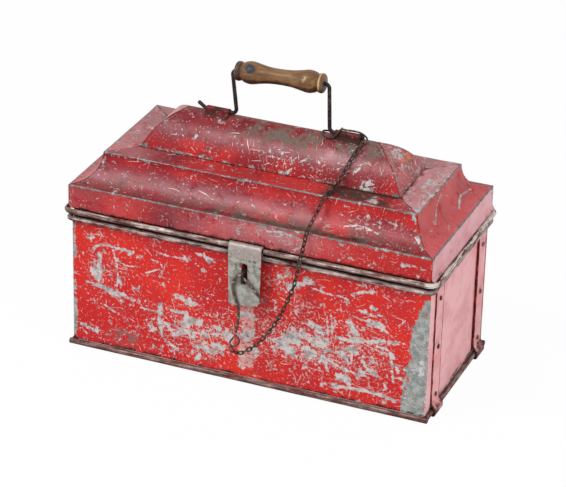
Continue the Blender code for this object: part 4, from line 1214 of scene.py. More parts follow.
@dataclass
class BodyShell(Assembly):
    """The body's front, back and end sheets."""

    front_flange: float = 0.0155
    back_flange: float = 0.0048
    front_step: float = 0.00112
    back_step: float = 0.0026
    dent: float = 0.00055
    end_dent: float = 0.0004
    band_levels: tuple[float, ...] = (0.008, 0.035, 0.088, 0.110, 0.129)
    band_widths: tuple[float, ...] = (0.024, 0.021, 0.0165, 0.0105, 0.0045)
    chipped: tuple[Spot, ...] = (
        Spot(0.85, (-0.052, 0.042), (0.05, 0.024)),
        Spot(0.9, (0.055, 0.056), (0.048, 0.03)),
        Spot(0.6, (-0.14, 0.085), (0.022, 0.03)),
        Spot(0.6, (0.12, 0.06), (0.033, 0.038)),
        Spot(0.85, (0.036, 0.113), (0.015, 0.014)),
        Spot(0.35, (-0.15, 0.02), (0.03, 0.008)),
        Spot(0.35, (0.11, 0.02), (0.05, 0.007)),
    )
    thinned: tuple[Spot, ...] = (
        Spot(0.33, (0.05, 0.055), (0.05, 0.03)),
        Spot(0.33, (-0.05, 0.045), (0.05, 0.022)),
    )
    # Painted shade: the hasp's shadow to its right, and the dark behind its slot.
    soot_and_shadow: tuple[Spot, ...] = (
        Spot(0.45, (0.0225, 0.118), (0.004, 0.02)),
        Spot(1.2, (0.0012, 0.119), (0.007, 0.014)),
    )
    smudge: Spot = Spot(1.0, (-0.124, 0.0205), (0.012, 0.0065))
    back_chipped: tuple[Spot, ...] = (
        Spot(0.4, (0.06, 0.05), (0.07, 0.03)),
        Spot(0.35, (-0.09, 0.08), (0.05, 0.03)),
    )
    end_chipped: Spot = Spot(0.8, (0.0, 0.012), (0.06, 0.008))

    def build(self) -> None:
        """Make the four sheets."""
        self.wrapped("front", -1, self.front_flange, self.front_step)
        self.wrapped("back", 1, self.back_flange, self.back_step)
        self.end("left_end", -1)
        self.end("right_end", 1)

    def make_sheet(self, place: str, grid: Array, uv: Array, wear: Worn) -> None:
        """Make one of the body's sheets, with painted shade on its upstand, which is out of sight above the
        rim but for the gap under the lid.

        Args:
            place: Which sheet it is.
            grid: Points as (row, column, xyz).
            uv: Place on the flat sheet.
            wear: What it carries below the rim.
        """
        s = self.sizes
        # Painted shade: the upstand is darkened to the black of the gap between the lid and the rim.
        more(wear, GRIME_AND_SHADE, 1.5 * smoothstep(s.rim_z - 0.001, s.rim_z + 0.001, grid[..., 2]))
        tag = Tag(f"{place}_sheet", Body.SHELL, Slot.RED, (f"{place}_panel",))
        sheet_object(tag, grid, uv, wear, self.finishes.body_sheet, s.sheet)

    def wrapped(self, place: str, side: int, flange: float, step: float) -> None:
        """A long sheet: its plan line runs round both corners, and each point of it is carried up.

        Args:
            place: front or back.
            side: -1 for the front, 1 for the back.
            flange: How far it turns round each corner.
            step: The distance between points.
        """
        s = self.sizes
        start, face, flange_y = side * s.half_length, side * s.half_depth, side * (s.half_depth - flange)
        corners = [(start, flange_y), (start, face), (-start, face), (-start, flange_y)]
        plan = refined(fillet(corners, s.bend + s.sheet / 2), step)
        rows = round((s.upstand_top - s.panel_bottom) / step)
        t = np.linspace(0.0, 1.0, rows)[:, None]
        inner = np.abs(plan[:, 0]) < s.end_panel_x - s.sheet - s.gap
        top = np.where(inner, s.upstand_top, s.flange_top)[None, :]
        z = s.panel_bottom + t * (top - s.panel_bottom)
        x = np.broadcast_to(plan[:, 0], z.shape)
        calm = smoothstep(0.0, 0.02, s.half_length - np.abs(x)) * smoothstep(0.0, 0.02, z - s.panel_bottom)
        sunk = self.dent * (calm * smoothstep(0.0, 0.02, s.flange_top - z)) * ripple(x, z, 5 + side)
        turned = np.broadcast_to(np.abs(plan[:, 1] - face), z.shape)
        wear = self.front_wear(x, z, turned) if side < 0 else self.back_wear(x, z)
        run = distance_along(plan) + 2.0 * (side + 1)
        self.make_sheet(place, joined(x, plan[:, 1] - side * sunk, z), joined(run, z), wear)

    def front_wear(self, x: Array, z: Array, turned: Array) -> Worn:
        """Where the front is chipped, scored, rubbed, bare and dirty, with painted shade under the rim, about
        the hasp and along the flange's edge, and painted glare on the flange.

        Args:
            x: Each point's place along the box.
            z: Each point's height.
            turned: How far each point lies behind the front face, round the corner.

        Returns:
            The amounts by kind.
        """
        s = self.sizes
        side_face = turned > 0.0019
        seam = smoothstep(self.front_flange - 0.0036, self.front_flange - 0.0008, turned)
        band = np.interp(z, self.band_levels, self.band_widths)
        bare = smoothstep(band + 0.008, band - 0.006, s.half_length - x) * smoothstep(0.1295, 0.1265, z)
        bare = np.maximum(bare, 0.77 * smoothstep(0.0075, 0.003, x + s.half_length))
        strip = smoothstep(0.0095, 0.006, np.abs(x - 0.0005)) * window(z, (0.01, 0.02), (0.08, 0.09))
        corner = window(turned, (0.0001, 0.0007), (0.0014, 0.0026)) * smoothstep(0.0, 0.01, x)
        smudge = spotted(x, z, self.smudge)
        # Painted shade under the rim bead (head), in the hasp's shadow and behind its slot, and along the
        # flange's edge by the strap (seam); the smudge is dirt, and the sheet is darker along its foot.
        foot, head = smoothstep(0.0130, 0.0085, z), smoothstep(0.1275, 0.1325, z)
        grime = 0.55 * foot + 0.5 * head + spotted(x, z, *self.soot_and_shadow) + 0.45 * smudge + 0.75 * seam
        return {
            CHIPS: np.where(side_face, -1.0, 0.13 + spotted(x, z, *self.chipped)) + 0.45 * strip,
            SCORE: scored(x, z, FRONT_SCORES) + 1.2 * corner * smoothstep(0.1, 0.07, z),
            DUST_AND_SHEEN: 1.3 * smudge,
            BARE: np.where(side_face, 0.0, bare),
            RUB_AND_SHEEN: 0.62 * strip + spotted(x, z, *self.thinned),
            GRIME_AND_SHADE: grime + 0.2 * smoothstep(0.006, 0.002, x + s.half_length),
            # Painted glare: the flange on the end is pale pink, held off along its edge to leave a painted
            # dark line.
            FADE: np.where(side_face, 0.9 - 0.75 * seam, 0.0),
        }

    def back_wear(self, x: Array, z: Array) -> Worn:
        """Where the back is chipped and darkened: lightly, along its edges and foot, and as painted shade
        under the rim.
        """
        grime = 0.5 * smoothstep(0.0135, 0.0085, z) + 0.4 * smoothstep(0.125, 0.1325, z)
        bare = 0.66 * smoothstep(0.006, 0.002, self.sizes.half_length - np.abs(x))
        return {CHIPS: 0.2 + spotted(x, z, *self.back_chipped), GRIME_AND_SHADE: grime, BARE: bare}

    def end(self, place: str, side: int) -> None:
        """An end sheet between the flanges: a flat grid with slow waves, pale pink as faded paint and painted
        glare, dark along the straps' edges and under the rim as painted shade.

        Args:
            place: left_end or right_end.
            side: -1 for the left end, 1 for the right.
        """
        s = self.sizes
        reach = s.half_depth - s.sheet / 2 - s.bend
        heights = np.linspace(s.panel_bottom, s.upstand_top, 90)
        across, z = np.meshgrid(np.linspace(-reach, reach, 130), heights)
        y = side * across
        calm = smoothstep(0.0, 0.03, reach - np.abs(across)) * smoothstep(0.0, 0.03, z - s.panel_bottom)
        sunk = self.end_dent * calm * ripple(across, z, 11 + side)
        from_straps = [np.abs(np.abs(y - middle) - s.strap_width / 2) for middle in s.strap_middles]
        # Painted shade: dark lines along the straps' edges, where the pale glare is also held off.
        seam = sum(smoothstep(0.0036, 0.001, distance) for distance in from_straps)
        # The sheet is darker along its foot, and under the rim bead as painted shade.
        foot, head = smoothstep(0.014, 0.009, z), smoothstep(0.124, 0.131, z)
        wear = {
            CHIPS: spotted(across, z, self.end_chipped) - 1.0,
            GRIME_AND_SHADE: 0.5 * foot + 0.4 * head + 0.6 * seam,
            FADE: 0.9 - 0.8 * np.minimum(seam, 1.0),
        }
        grid = joined(side * (s.end_panel_x - sunk), y, z)
        self.make_sheet(place, grid, joined(across + 4.0 + side, z), wear)


@dataclass
class RolledEdges(Assembly):
    """The rolled edges round the rim, the foot and the lid."""

    rim_corner: float = 0.005
    lid_corner: float = 0.0075
    # The rolls' crest, up and outwards: rubbed, and a painted highlight, with painted shade on the far side.
    crest: float = math.radians(118)
    wave: float = 0.05
    lid_wave: float = 0.06
    lid_end: float = 0.88
    foot_end: float = 0.86

    def build(self) -> None:
        """Make the rim's ring, the lid's broken ring and the four rolls at the foot."""
        s, f = self.sizes, self.finishes
        out = s.gap + s.rim_radius
        ring = self.ring(s.half_length + out, s.half_depth + out, s.rim_z, self.rim_corner)
        tag = Tag("rim_roll", Body.SHELL, Slot.ROLLED, ("rim_bead",))
        wire_object(tag, ring, wander(ring, s.rim_radius, self.wave), UP, f.rim_rolled, 16, True, self.crest)
        line = self.lid_line()
        size = wander(line, s.lid_bead_radius * 0.995, self.lid_wave)
        size[[0, -1]] *= self.lid_end
        past_end = line[:, 0] - s.lid_half_length
        knob = ridge(np.hypot(past_end - 0.001, line[:, 1] + s.lid_bead_y - 0.002), 0.0, 0.006)
        bare = np.maximum(knob, 0.32 * smoothstep(0.0, 0.003, past_end))
        tag = Tag("lid_roll", Body.LID, Slot.ROLLED, ("lid_bead",))
        wire_object(tag, line, size, UP, f.rolled, 18, False, self.crest, bare)
        self.foot_rolls()

    def lid_line(self) -> Array:
        """The lid roll's path: a ring that starts and ends beside the hasp."""
        s = self.sizes
        end = s.lid_half_length + s.lid_bead_end_proud
        ring = self.ring(end, s.lid_bead_y, s.lid_bead_z, self.lid_corner)
        start = int(np.argmin(np.hypot(ring[:, 0] - s.hasp_x, ring[:, 1] + s.lid_bead_y)))
        ring = np.roll(ring, -start, axis=0)
        keep = (np.abs(ring[:, 0] - s.hasp_x) > s.hasp_half_gap + 0.001) | (ring[:, 1] > 0)
        ends = [[s.hasp_x + q * s.hasp_half_gap, -s.lid_bead_y, s.lid_bead_z] for q in (1, -1)]
        return np.vstack([ends[:1], ring[keep], ends[1:]])

    def ring(self, half_x: float, half_y: float, z: float, corner: float) -> Array:
        """A level rectangle with round corners, anticlockwise, with points every few millimetres.

        Args:
            half_x: Half its length.
            half_y: Half its depth.
            z: Its height.
            corner: The corners' radius.

        Returns:
            The ring's points, without a repeated last one.
        """
        corners = np.array([[1, -1], [1, 1], [-1, 1], [-1, -1]]) * [half_x - corner, half_y - corner]
        angle = np.radians(np.array([270, 0, 90, 180])[:, None] + np.linspace(0, 90, 9)[None, :])
        arcs = corners[:, None, :] + corner * joined(np.cos(angle), np.sin(angle))
        line = arcs.reshape(-1, 2)
        flat = refined(np.vstack([line, line[:1]]), 0.004)[:-1]
        return np.column_stack([flat, np.full(len(flat), z)])

    def foot_rolls(self) -> None:
        """The rolls at the foot: long ones in front and behind, short ones between them at the ends."""
        s = self.sizes
        x, y = s.half_length + s.base_proud, s.half_depth + s.base_proud
        long_reach, short_reach = x + s.base_radius, y - s.base_radius - s.gap
        for name, along, out in (("front", 1, -y), ("back", -1, y), ("left", -1, -x), ("right", 1, x)):
            lengthwise = name in ("front", "back")
            reach = long_reach if lengthwise else short_reach
            t = along * np.concatenate([[-reach], np.linspace(0.0004 - reach, reach - 0.0004, 100), [reach]])
            line = joined(t, out, s.base_z) if lengthwise else joined(out, t, s.base_z)
            size = wander(line, s.base_radius, self.wave)
            size[[0, -1]] *= self.foot_end
            tag = Tag(f"foot_roll_{name}", Body.SHELL, Slot.ROLLED, (f"base_bead_{name}",))
            wire_object(tag, line, size, UP, self.finishes.foot_rolled, 18, False, self.crest)


@dataclass
class EndStraps(Assembly):
    """The riveted straps on the ends."""

    thickness: float = 0.0014
    toe: float = 0.005
    flare: float = 0.005
    eased: float = 0.0003
    rivet_radius: float = 0.0024
    rivet_height: float = 0.0013
    shank_radius: float = 0.00105
    shank_length: float = 0.003
    low_margin: float = 0.0108
    high_margin: float = 0.0155
    sides: int = 20

    def build(self) -> None:
        """Make a strap and its three rivets at each of the four places."""
        for end, side in (("left", -1), ("right", 1)):
            for place, middle in zip(("front", "back"), self.sizes.strap_middles):
                self.strap(f"{end}_{place}", side, middle)
                self.rivets(f"{end}_{place}", side, middle)

    def outer_line(self) -> Array:
        """The strap's outer face in (x, z), from its toe under the box up to its top."""
        s = self.sizes
        half = self.thickness / 2
        middle = s.end_panel_x + s.gap + half
        outside = s.half_length + s.base_proud + s.base_radius + s.gap + half
        path = [
            (outside - self.toe, half),
            (outside, half),
            (outside, s.base_z + s.base_radius / 2),
            (middle, s.base_z + s.base_radius + self.flare),
            (middle, s.flange_top),
        ]
        return refined(aside(fillet(path, s.bend), -half), 0.003)

    def strap(self, name: str, side: int, middle: float) -> None:
        """A strap: its bent line carried across its width.

        Args:
            name: Which strap it is.
            side: -1 for the left end, 1 for the right.
            middle: Where the strap's middle line is.
        """
        half = self.sizes.strap_width / 2
        line = self.outer_line()
        x, z = line[:, :1], line[:, 1:]
        across = np.linspace(-half, half, 21)[None, :]
        edge, foot = smoothstep(0.0028, 0.0004, half - np.abs(across)), smoothstep(0.02, 0.008, z)
        # Painted shade darkens the strap's long edges, which are kept off the pale glare; the rest is pale as
        # painted glare.
        wear = {
            CHIPS: 0.4 * edge + 1.1 * foot - 1.0,
            GRIME_AND_SHADE: 0.16 + 0.4 * foot + 0.6 * edge,
            FADE: 0.8 - 0.6 * edge,
        }
        grid = joined(side * x, middle + side * across, z)
        uv = joined(across + 7.0 + middle * 5 + side, distance_along(line)[:, None])
        tag = Tag(f"{name}_strap_sheet", Body.SHELL, Slot.RED, (f"{name}_strap",))
        ease_edges(sheet_object(tag, grid, uv, wear, (self.finishes.red,), self.thickness), self.eased)

    def rivets(self, name: str, side: int, middle: float) -> None:
        """Three rivet heads: flattened domes, r cos a out and h sin a high, with a rim on the strap.

        Args:
            name: Which strap they hold.
            side: -1 for the left end, 1 for the right.
            middle: Where the strap's middle line is.
        """
        s = self.sizes
        angle = np.linspace(math.radians(88), 0.0, 7)
        dome = joined(self.rivet_radius * np.cos(angle) ** 0.8, self.rivet_height * np.sin(angle))
        under = [[self.rivet_radius * 0.92, -s.gap], [self.shank_radius, -s.gap]]
        ring = np.vstack([dome, under, [[self.shank_radius, -self.shank_length]]])
        q = turns(self.sides)[None, :]
        out = s.end_panel_x + s.gap + self.thickness + s.gap + ring[:, 1:]
        low, high = s.panel_bottom + self.low_margin, s.flange_top - self.high_margin
        quads, size = grid_faces(len(ring), self.sides, False, True), len(ring) * self.sides
        domes, faces = [], []
        for start, z in zip((0, size, 2 * size), (low, (low + high) / 2, high)):
            y, up = middle + ring[:, :1] * np.cos(q), z + ring[:, :1] * np.sin(q)
            domes.append(joined(side * out, y, up).reshape(-1, 3))
            faces += (quads + start).tolist()
            faces.append(list(range(start, start + self.sides)))
            faces.append(list(range(start + size - self.sides, start + size)))
        obj = make_object(f"{name}_rivets", np.vstack(domes), faces, self.finishes.rivet)
        tidy_mesh(obj, True)
        nodes = tuple(f"{name}_rivet_{level}" for level in ("low", "mid", "high"))
        publish(obj, Tag(obj.name, Body.SHELL, Slot.WIRE, nodes))


@dataclass(frozen=True)
class LidZones:
    """Where a moulding's points lie: along it, up its profile, and the share of each zone, 0 to 1."""

    run: Array
    arc: Array
    upper_arc: float
    skirt: Array
    ledge: Array
    cove_foot: Array

    @property
    def cove(self) -> Array:
        """The cove, between the skirt and the upper ledge."""
        return (1 - self.skirt) * (1 - self.ledge)


@dataclass
class StepLid(Assembly):
    """The lid's mitred mouldings: skirt, lower ledge, cove and upper ledge."""

    skirt_bottom: float = 0.1468
    flare: float = 0.0022
    flare_height: float = 0.004
    lower_ledge_z: float = 0.1702
    lower_ledge: float = 0.002
    cove_run: float = 0.0223
    inner: float = 0.0308
    edge: float = 0.0009
    ends: tuple[float, ...] = (0.0, 0.0007, 0.0014, 0.0024, 0.004, 0.007, 0.012)
    long_count: int = 230
    short_count: int = 170
    notch_top: float = 0.1488
    dent: float = 0.00045
    speckled: Spot = Spot(1.0, (0.03, 0.014), (0.05, 0.01))
    flecked: tuple[Spot, ...] = (
        Spot(0.4, (0.11, 0.043), (0.03, 0.008)),
        Spot(0.4, (0.146, 0.031), (0.016, 0.006)),
    )
    smear: Spot = Spot(0.6, (-0.125, 0.040), (0.03, 0.005))

    @property
    def low_arc(self) -> float:
        """Distance up the profile of the lower ledge's edge."""
        return self.lower_ledge_z - self.skirt_bottom - self.edge * (1 - math.pi / 4)

    def build(self) -> None:
        """Make the four mouldings."""
        s = self.sizes
        spread = s.lid_half_length - s.lid_half_depth
        for number, side in enumerate(("front", "right", "back", "left")):
            self.moulding(side, number, spread if side in ("front", "back") else 0.0, spread)

    def profile(self) -> Array:
        """The outer face as (distance out, height): skirt, ledge, quarter-ellipse cove and ledge."""
        s = self.sizes
        d, e, low, high = s.lid_half_depth, self.edge, self.lower_ledge_z, s.upper_ledge_z
        upper = d - self.lower_ledge - self.cove_run
        q, t = np.linspace(0, math.pi / 2, 7), np.linspace(0, math.pi / 2 * 0.985, 52)
        bow = e * joined(np.cos(q), np.sin(q))
        skirt = joined(d, np.linspace(self.skirt_bottom, low - e, 17))
        cove = joined(upper + self.cove_run * (1 - np.sin(t)), high - (high - low) * np.cos(t))
        cove = cove[cove[:, 1] < high - e]
        ledge = joined(np.linspace(upper - e, self.inner, 20)[1:], high)
        return np.vstack([skirt, (bow + [d - e, low - e])[1:], cove, bow + [upper - e, high - e], ledge])

    def moulding(self, side: str, number: int, mitre: float, spread: float) -> None:
        """One moulding: the profile carried along its side, with both ends cut at 45 degrees.

        Args:
            side: front, right, back or left.
            number: Quarter turns from the front.
            mitre: How much longer the run is than the distance from the middle.
            spread: The lid's half length less its half depth.
        """
        s = self.sizes
        profile = self.profile()
        half = profile[:, :1] + mitre - s.mitre_slack
        run = mitred_places(half, self.ends, self.long_count if mitre else self.short_count)
        z = np.broadcast_to(profile[:, 1:], run.shape)
        arc = np.broadcast_to(distance_along(profile)[:, None], run.shape)
        out = profile[:, :1] + (spread - mitre)
        if side == "front":
            skirt_top = self.lower_ledge_z - self.edge
            below = np.clip((skirt_top - z) / (skirt_top - self.skirt_bottom), 0.0, 1.0)
            behind_hasp = np.abs(run - s.hasp_x) < s.hasp_half_gap + s.gap
            z = z + (self.notch_top - self.skirt_bottom) * below * behind_hasp
        if not mitre:
            up = (profile[:, 1:] - self.skirt_bottom) / self.flare_height
            out = out + self.flare * np.clip(1 - up, 0, 1)
        calm = smoothstep(0.0, 0.02, half - np.abs(run)) * smoothstep(0.0, 0.006, arc)
        calm = calm * smoothstep(0.001, 0.012, np.abs(arc - self.low_arc))
        sunk = self.dent * calm * ripple(run, arc, 21 + number, 0.06)
        tilt = slopes(profile)
        away, z = out - sunk * tilt[:, 1:], z + sunk * tilt[:, :1]
        c, n = math.cos(number * math.pi / 2), math.sin(number * math.pi / 2)
        grid = joined(run * c + away * n, run * n - away * c, z)
        uv = joined(run + 10.0 + 2 * number, arc)
        tag = Tag(f"lid_{side}_sheet", Body.LID, Slot.CRIMSON, (f"lid_{side}_moulding",))
        wear = self.wear(side, run, half, profile, arc)
        sheet_object(tag, grid, uv, wear, self.finishes.lid_sheet, s.sheet)

    def wear(self, side: str, run: Array, half: Array, profile: Array, arc: Array) -> Worn:
        """Where a moulding is worn: bare along its edges, dark at its mitres, with painted shade at its feet
        and under the crown, dusty on its ledge, and pale with painted glare at the ends.

        Args:
            side: Which moulding it is.
            run: Place along the moulding.
            half: Half its length at each row.
            profile: Its profile.
            arc: Distance up the profile.

        Returns:
            The amounts by kind.
        """
        upper_arc = distance_along(profile)[np.argmax(profile[:, 1] > self.sizes.upper_ledge_z - 1e-6)]
        from_mitre = half - np.abs(run)
        edges = ridge(arc, self.low_arc, 0.0015) + ridge(arc, upper_arc - 0.0005, 0.0015)
        seam = smoothstep(0.0014, 0.0004, from_mitre)
        ledge = smoothstep(-0.001, 0.001, arc - upper_arc)
        under_crown = ledge * smoothstep(0.0372, 0.0345, profile[:, :1])
        skirt = smoothstep(0.001, -0.0015, arc - self.low_arc)
        skirt_foot = smoothstep(0.0042, 0.0012, arc)
        zones = LidZones(run, arc, upper_arc, skirt, ledge, ridge(arc, self.low_arc + 0.0052, 0.0042))
        worn: Worn = {
            CHIPS: 0.14 + 0.2 * edges + 0.25 * smoothstep(0.006, 0.001, from_mitre),
            SCORE: scored(run, arc, LID_SCORES[side]),
            BARE: edges * (1 - seam) + 0.57 * ridge(from_mitre, 0.0028, 0.0016),
            # Painted shade in the crease over the lid bead and on the ledge under the crown; the mitres'
            # seams are dark joints.
            GRIME_AND_SHADE: 0.5 * seam + 0.5 * under_crown + 0.5 * skirt_foot,
            DUST_AND_SHEEN: 0.1 * ledge * (1 - under_crown),
        }
        if side == "front":
            self.front_wear(worn, zones)
        elif side == "right":
            # Painted glare: the right moulding is pale pink like the right end, and painted light keeps its
            # cove to the bright red.
            more(worn, FADE, skirt + 0.21 * zones.cove + 0.55 * ledge)
            more(worn, FRESH_AND_LIT, 0.8 * zones.cove)
            silver = 0.4 * ledge + 0.6 * ridge(arc, upper_arc + 0.005, 0.005)
            more(worn, CHIPS, silver - 0.5 * zones.cove - 1.1 * skirt)
            more(worn, GRIME_AND_SHADE, -0.2 * skirt_foot)
        else:
            # The back and left mouldings fade a little; the left skirt is pale like the right one, as painted
            # glare; the cove's foot gets painted shade.
            more(worn, FADE, 0.3 * zones.cove + 0.4 * ledge + 0.8 * skirt * (side == "left"))
            more(worn, CHIPS, 0.35 * ledge)
            more(worn, DUST_AND_SHEEN, 0.25 * ledge)
            more(worn, GRIME_AND_SHADE, 0.25 * zones.cove_foot)
        return worn

    def front_wear(self, worn: Worn, zones: LidZones) -> None:
        """Add the front moulding's own wear: dust and painted shade in the cove's foot, painted shade on the
        lower ledge to the right, a speckled skirt and a dusty ledge, with a painted glare band across the
        cove and painted light on its front-facing parts.

        Args:
            worn: The amounts to add to.
            zones: Where its points lie.
        """
        run, arc, skirt, ledge = zones.run, zones.arc, zones.skirt, zones.ledge
        # Dust along the cove's foot, and painted shade there and on the lower ledge to the right.
        dusty_and_shaded = 0.34 + 0.46 * window(run, (-0.12, 0.03), (0.09, 0.14))
        left, right = smoothstep(-0.08, -0.13, run), smoothstep(0.05, 0.09, run)
        shaded = 0.12 * left + 0.62 * window(run, (0.045, 0.07), (0.12, 0.135))
        more(worn, GRIME_AND_SHADE, zones.cove_foot * dusty_and_shaded + ledge * shaded)
        speckled = skirt * spotted(run, arc, self.speckled)
        corner = ledge * spotted(run, arc, Spot(0.5, (0.11, zones.upper_arc + 0.008), (0.02, 0.008)))
        flecked = spotted(run, arc, *self.flecked)
        more(worn, CHIPS, 0.5 * speckled + flecked + corner + 0.08 * skirt * right)
        more(worn, FADE, 0.35 * speckled + 0.15 * skirt * window(run, (-0.12, -0.04), (0.03, 0.1)))
        # Painted glare: a pale band across the middle of the cove.
        more(worn, FADE, zones.cove * ridge(arc, self.low_arc + 0.020, 0.009) * (0.32 - 0.17 * right))
        more(worn, FADE, 0.1 * skirt * left + 0.2 * ledge * left)
        # Painted light: the skirt, the ledge's middle and the cove's steep upper part are lifted towards the
        # bright red.
        more(worn, FRESH_AND_LIT, skirt * (0.3 + right + 0.4 * left) - 0.3)
        more(worn, FRESH_AND_LIT, 0.9 * ledge * window(run, (-0.09, -0.05), (0.05, 0.075)))
        more(worn, FRESH_AND_LIT, 0.6 * ridge(arc, zones.upper_arc - 0.007, 0.006))
        more(worn, FRESH_AND_LIT, (0.45 * right + 0.25 * left) * ridge(arc, self.low_arc + 0.02, 0.012))
        more(worn, DUST_AND_SHEEN, 0.75 * ridge(arc, self.low_arc + 0.008, 0.008) * dusty_and_shaded)
        more(worn, DUST_AND_SHEEN, spotted(run, arc, self.smear))


@dataclass
class Crown(Assembly):
    """The crown on the lid: a sheet bent over the ridge and a hip at each end."""

    half_depth: float = 0.0338
    rise: float = 0.0336
    turn: float = math.radians(50)
    ridge_half: float = 0.0045
    mitre: float = 0.0938
    ends: tuple[float, ...] = (0.0, 0.0006, 0.0013, 0.0022, 0.0036, 0.007, 0.012)
    count: int = 170
    crowding: float = 1.15
    dent: float = 0.0005
    between_feet: Spot = Spot(1.0, (0.012, 0.0125), (0.05, 0.009))
    beside_foot: Spot = Spot(1.0, (0.080, 0.013), (0.026, 0.014))
    low_chips: Spot = Spot(0.55, (0.02, 0.027), (0.05, 0.006))
    soot_and_shadow: tuple[Spot, ...] = (
        Spot(0.35, (-0.043, 0.010), (0.006, 0.006)),
        Spot(0.21, (0.05, 0.012), (0.012, 0.008)),
        Spot(0.3, (-0.09, 0.012), (0.04, 0.008)),
    )
    # Painted glare: a pale spot on the glare band by the right leg.
    bleach_and_glare: Spot = Spot(0.4, (0.055, 0.019), (0.02, 0.005))
    hip_pale: Spot = Spot(1.0, (0.003, 0.0155), (0.010, 0.005))
    hip_flecks: tuple[Spot, ...] = (
        Spot(1.7, (0.001, 0.0212), (0.005, 0.0023)),
        Spot(1.7, (0.0155, 0.0228), (0.0048, 0.002)),
    )

    @property
    def base_z(self) -> float:
        """The crown's foot, just over the upper ledge."""
        return self.sizes.upper_ledge_z + self.sizes.gap

    def height(self, distance: Array) -> Array:
        """Height of the outer face: an arc that turns from base to ridge, and a parabola over the ridge.

        Args:
            distance: Distance from the middle line.

        Returns:
            The height of each point.
        """
        radius = math.hypot(self.half_depth, self.rise) / (2 * math.sin(self.turn / 2))
        base_angle = math.atan2(self.rise, self.half_depth) + self.turn / 2
        centre_n = self.half_depth - radius * math.sin(base_angle)
        centre_z = self.base_z - radius * math.cos(base_angle)
        n = np.maximum(np.abs(distance), self.ridge_half)
        drop = np.sqrt(radius**2 - (n - centre_n) ** 2)
        inside = np.minimum(np.abs(distance), self.ridge_half)
        cap = (n - centre_n) / drop * (self.ridge_half**2 - inside**2) / (2 * self.ridge_half)
        return centre_z + drop + cap

    def rows(self, last: float, count: int) -> Array:
        """Distances of the rows from the ridge, h cos(a)^p from the foot to a last angle in degrees."""
        return self.half_depth * np.cos(np.linspace(0, math.radians(last), count)) ** self.crowding

    def build(self) -> None:
        """Make the cover and both hips."""
        self.cover()
        self.hip("right", 1)
        self.hip("left", -1)

    def cover(self) -> None:
        """The cover: the profile from the front foot over the ridge to the back foot, carried along X."""
        s = self.sizes
        front = self.rows(90, 44)
        n = np.concatenate([front, -front[-2::-1]])[:, None]
        profile = np.hstack([n, self.height(n)])
        half = np.abs(n) + self.mitre - s.mitre_slack
        x = mitred_places(half, self.ends, self.count)
        arc = np.broadcast_to(distance_along(profile)[:, None], x.shape)
        tilt = slopes(profile)
        calm = smoothstep(0.0, 0.01, self.half_depth - np.abs(n)) * smoothstep(0.008, 0.014, np.abs(n))
        sunk = self.dent * calm * smoothstep(0.0, 0.015, half - np.abs(x)) * ripple(x, arc, 41)
        grid = joined(x, sunk * tilt[:, 1:] - n, profile[:, 1:] + sunk * tilt[:, :1])
        wear = self.cover_wear(x, n, half)
        tag = Tag("crown_sheet", Body.LID, Slot.CRIMSON, ("crown_cover",))
        sheet_object(tag, grid, joined(x + 20.0, arc), wear, self.finishes.lid_sheet, s.sheet)

    def cover_wear(self, x: Array, n: Array, half: Array) -> Worn:
        """Where the cover is worn: grey along the ridge, partly painted sheen, most by the handle's right
        foot, dark at the seams, with a band of painted glare across its front and its front foot lifted to
        the brighter red as painted light.

        Args:
            x: Place along the crown.
            n: Distance in front of the ridge.
            half: Half the length at each row.

        Returns:
            The amounts by kind.
        """
        from_mitre = half - np.abs(x)
        seam = smoothstep(0.0013, 0.0004, from_mitre)
        foot = smoothstep(self.half_depth - 0.002, self.half_depth - 0.0006, np.abs(n))
        between, beside = spotted(x, n, self.between_feet), spotted(x, n, self.beside_foot)
        chips = 0.14 + 0.3 * between + 0.4 * beside + 0.25 * foot
        grime = 0.5 * seam + 0.15 * ridge(n, 0.0, 0.006) + 0.15 * between + 0.14 * beside
        # Painted glare: a pale band across the front, halfway up.
        fade = (0.1 + 0.14 * smoothstep(-0.1, -0.03, x)) * ridge(n, 0.0215, 0.005)
        return {
            CHIPS: chips + spotted(x, n, self.low_chips),
            BARE: 0.58 * foot + 0.57 * ridge(from_mitre, 0.0028, 0.0015) + 0.35 * beside,
            # Dust, and painted sheen along the ridge's top.
            DUST_AND_SHEEN: 0.95 * between + 0.6 * beside + 0.4 * ridge(n, 0.0, 0.012),
            GRIME_AND_SHADE: grime + spotted(x, n, *self.soot_and_shadow),
            FADE: fade + spotted(x, n, self.bleach_and_glare),
            # Painted light: the steep front foot is lifted towards the bright red.
            FRESH_AND_LIT: 0.5 * smoothstep(0.024, 0.029, n) - 0.45,
        }

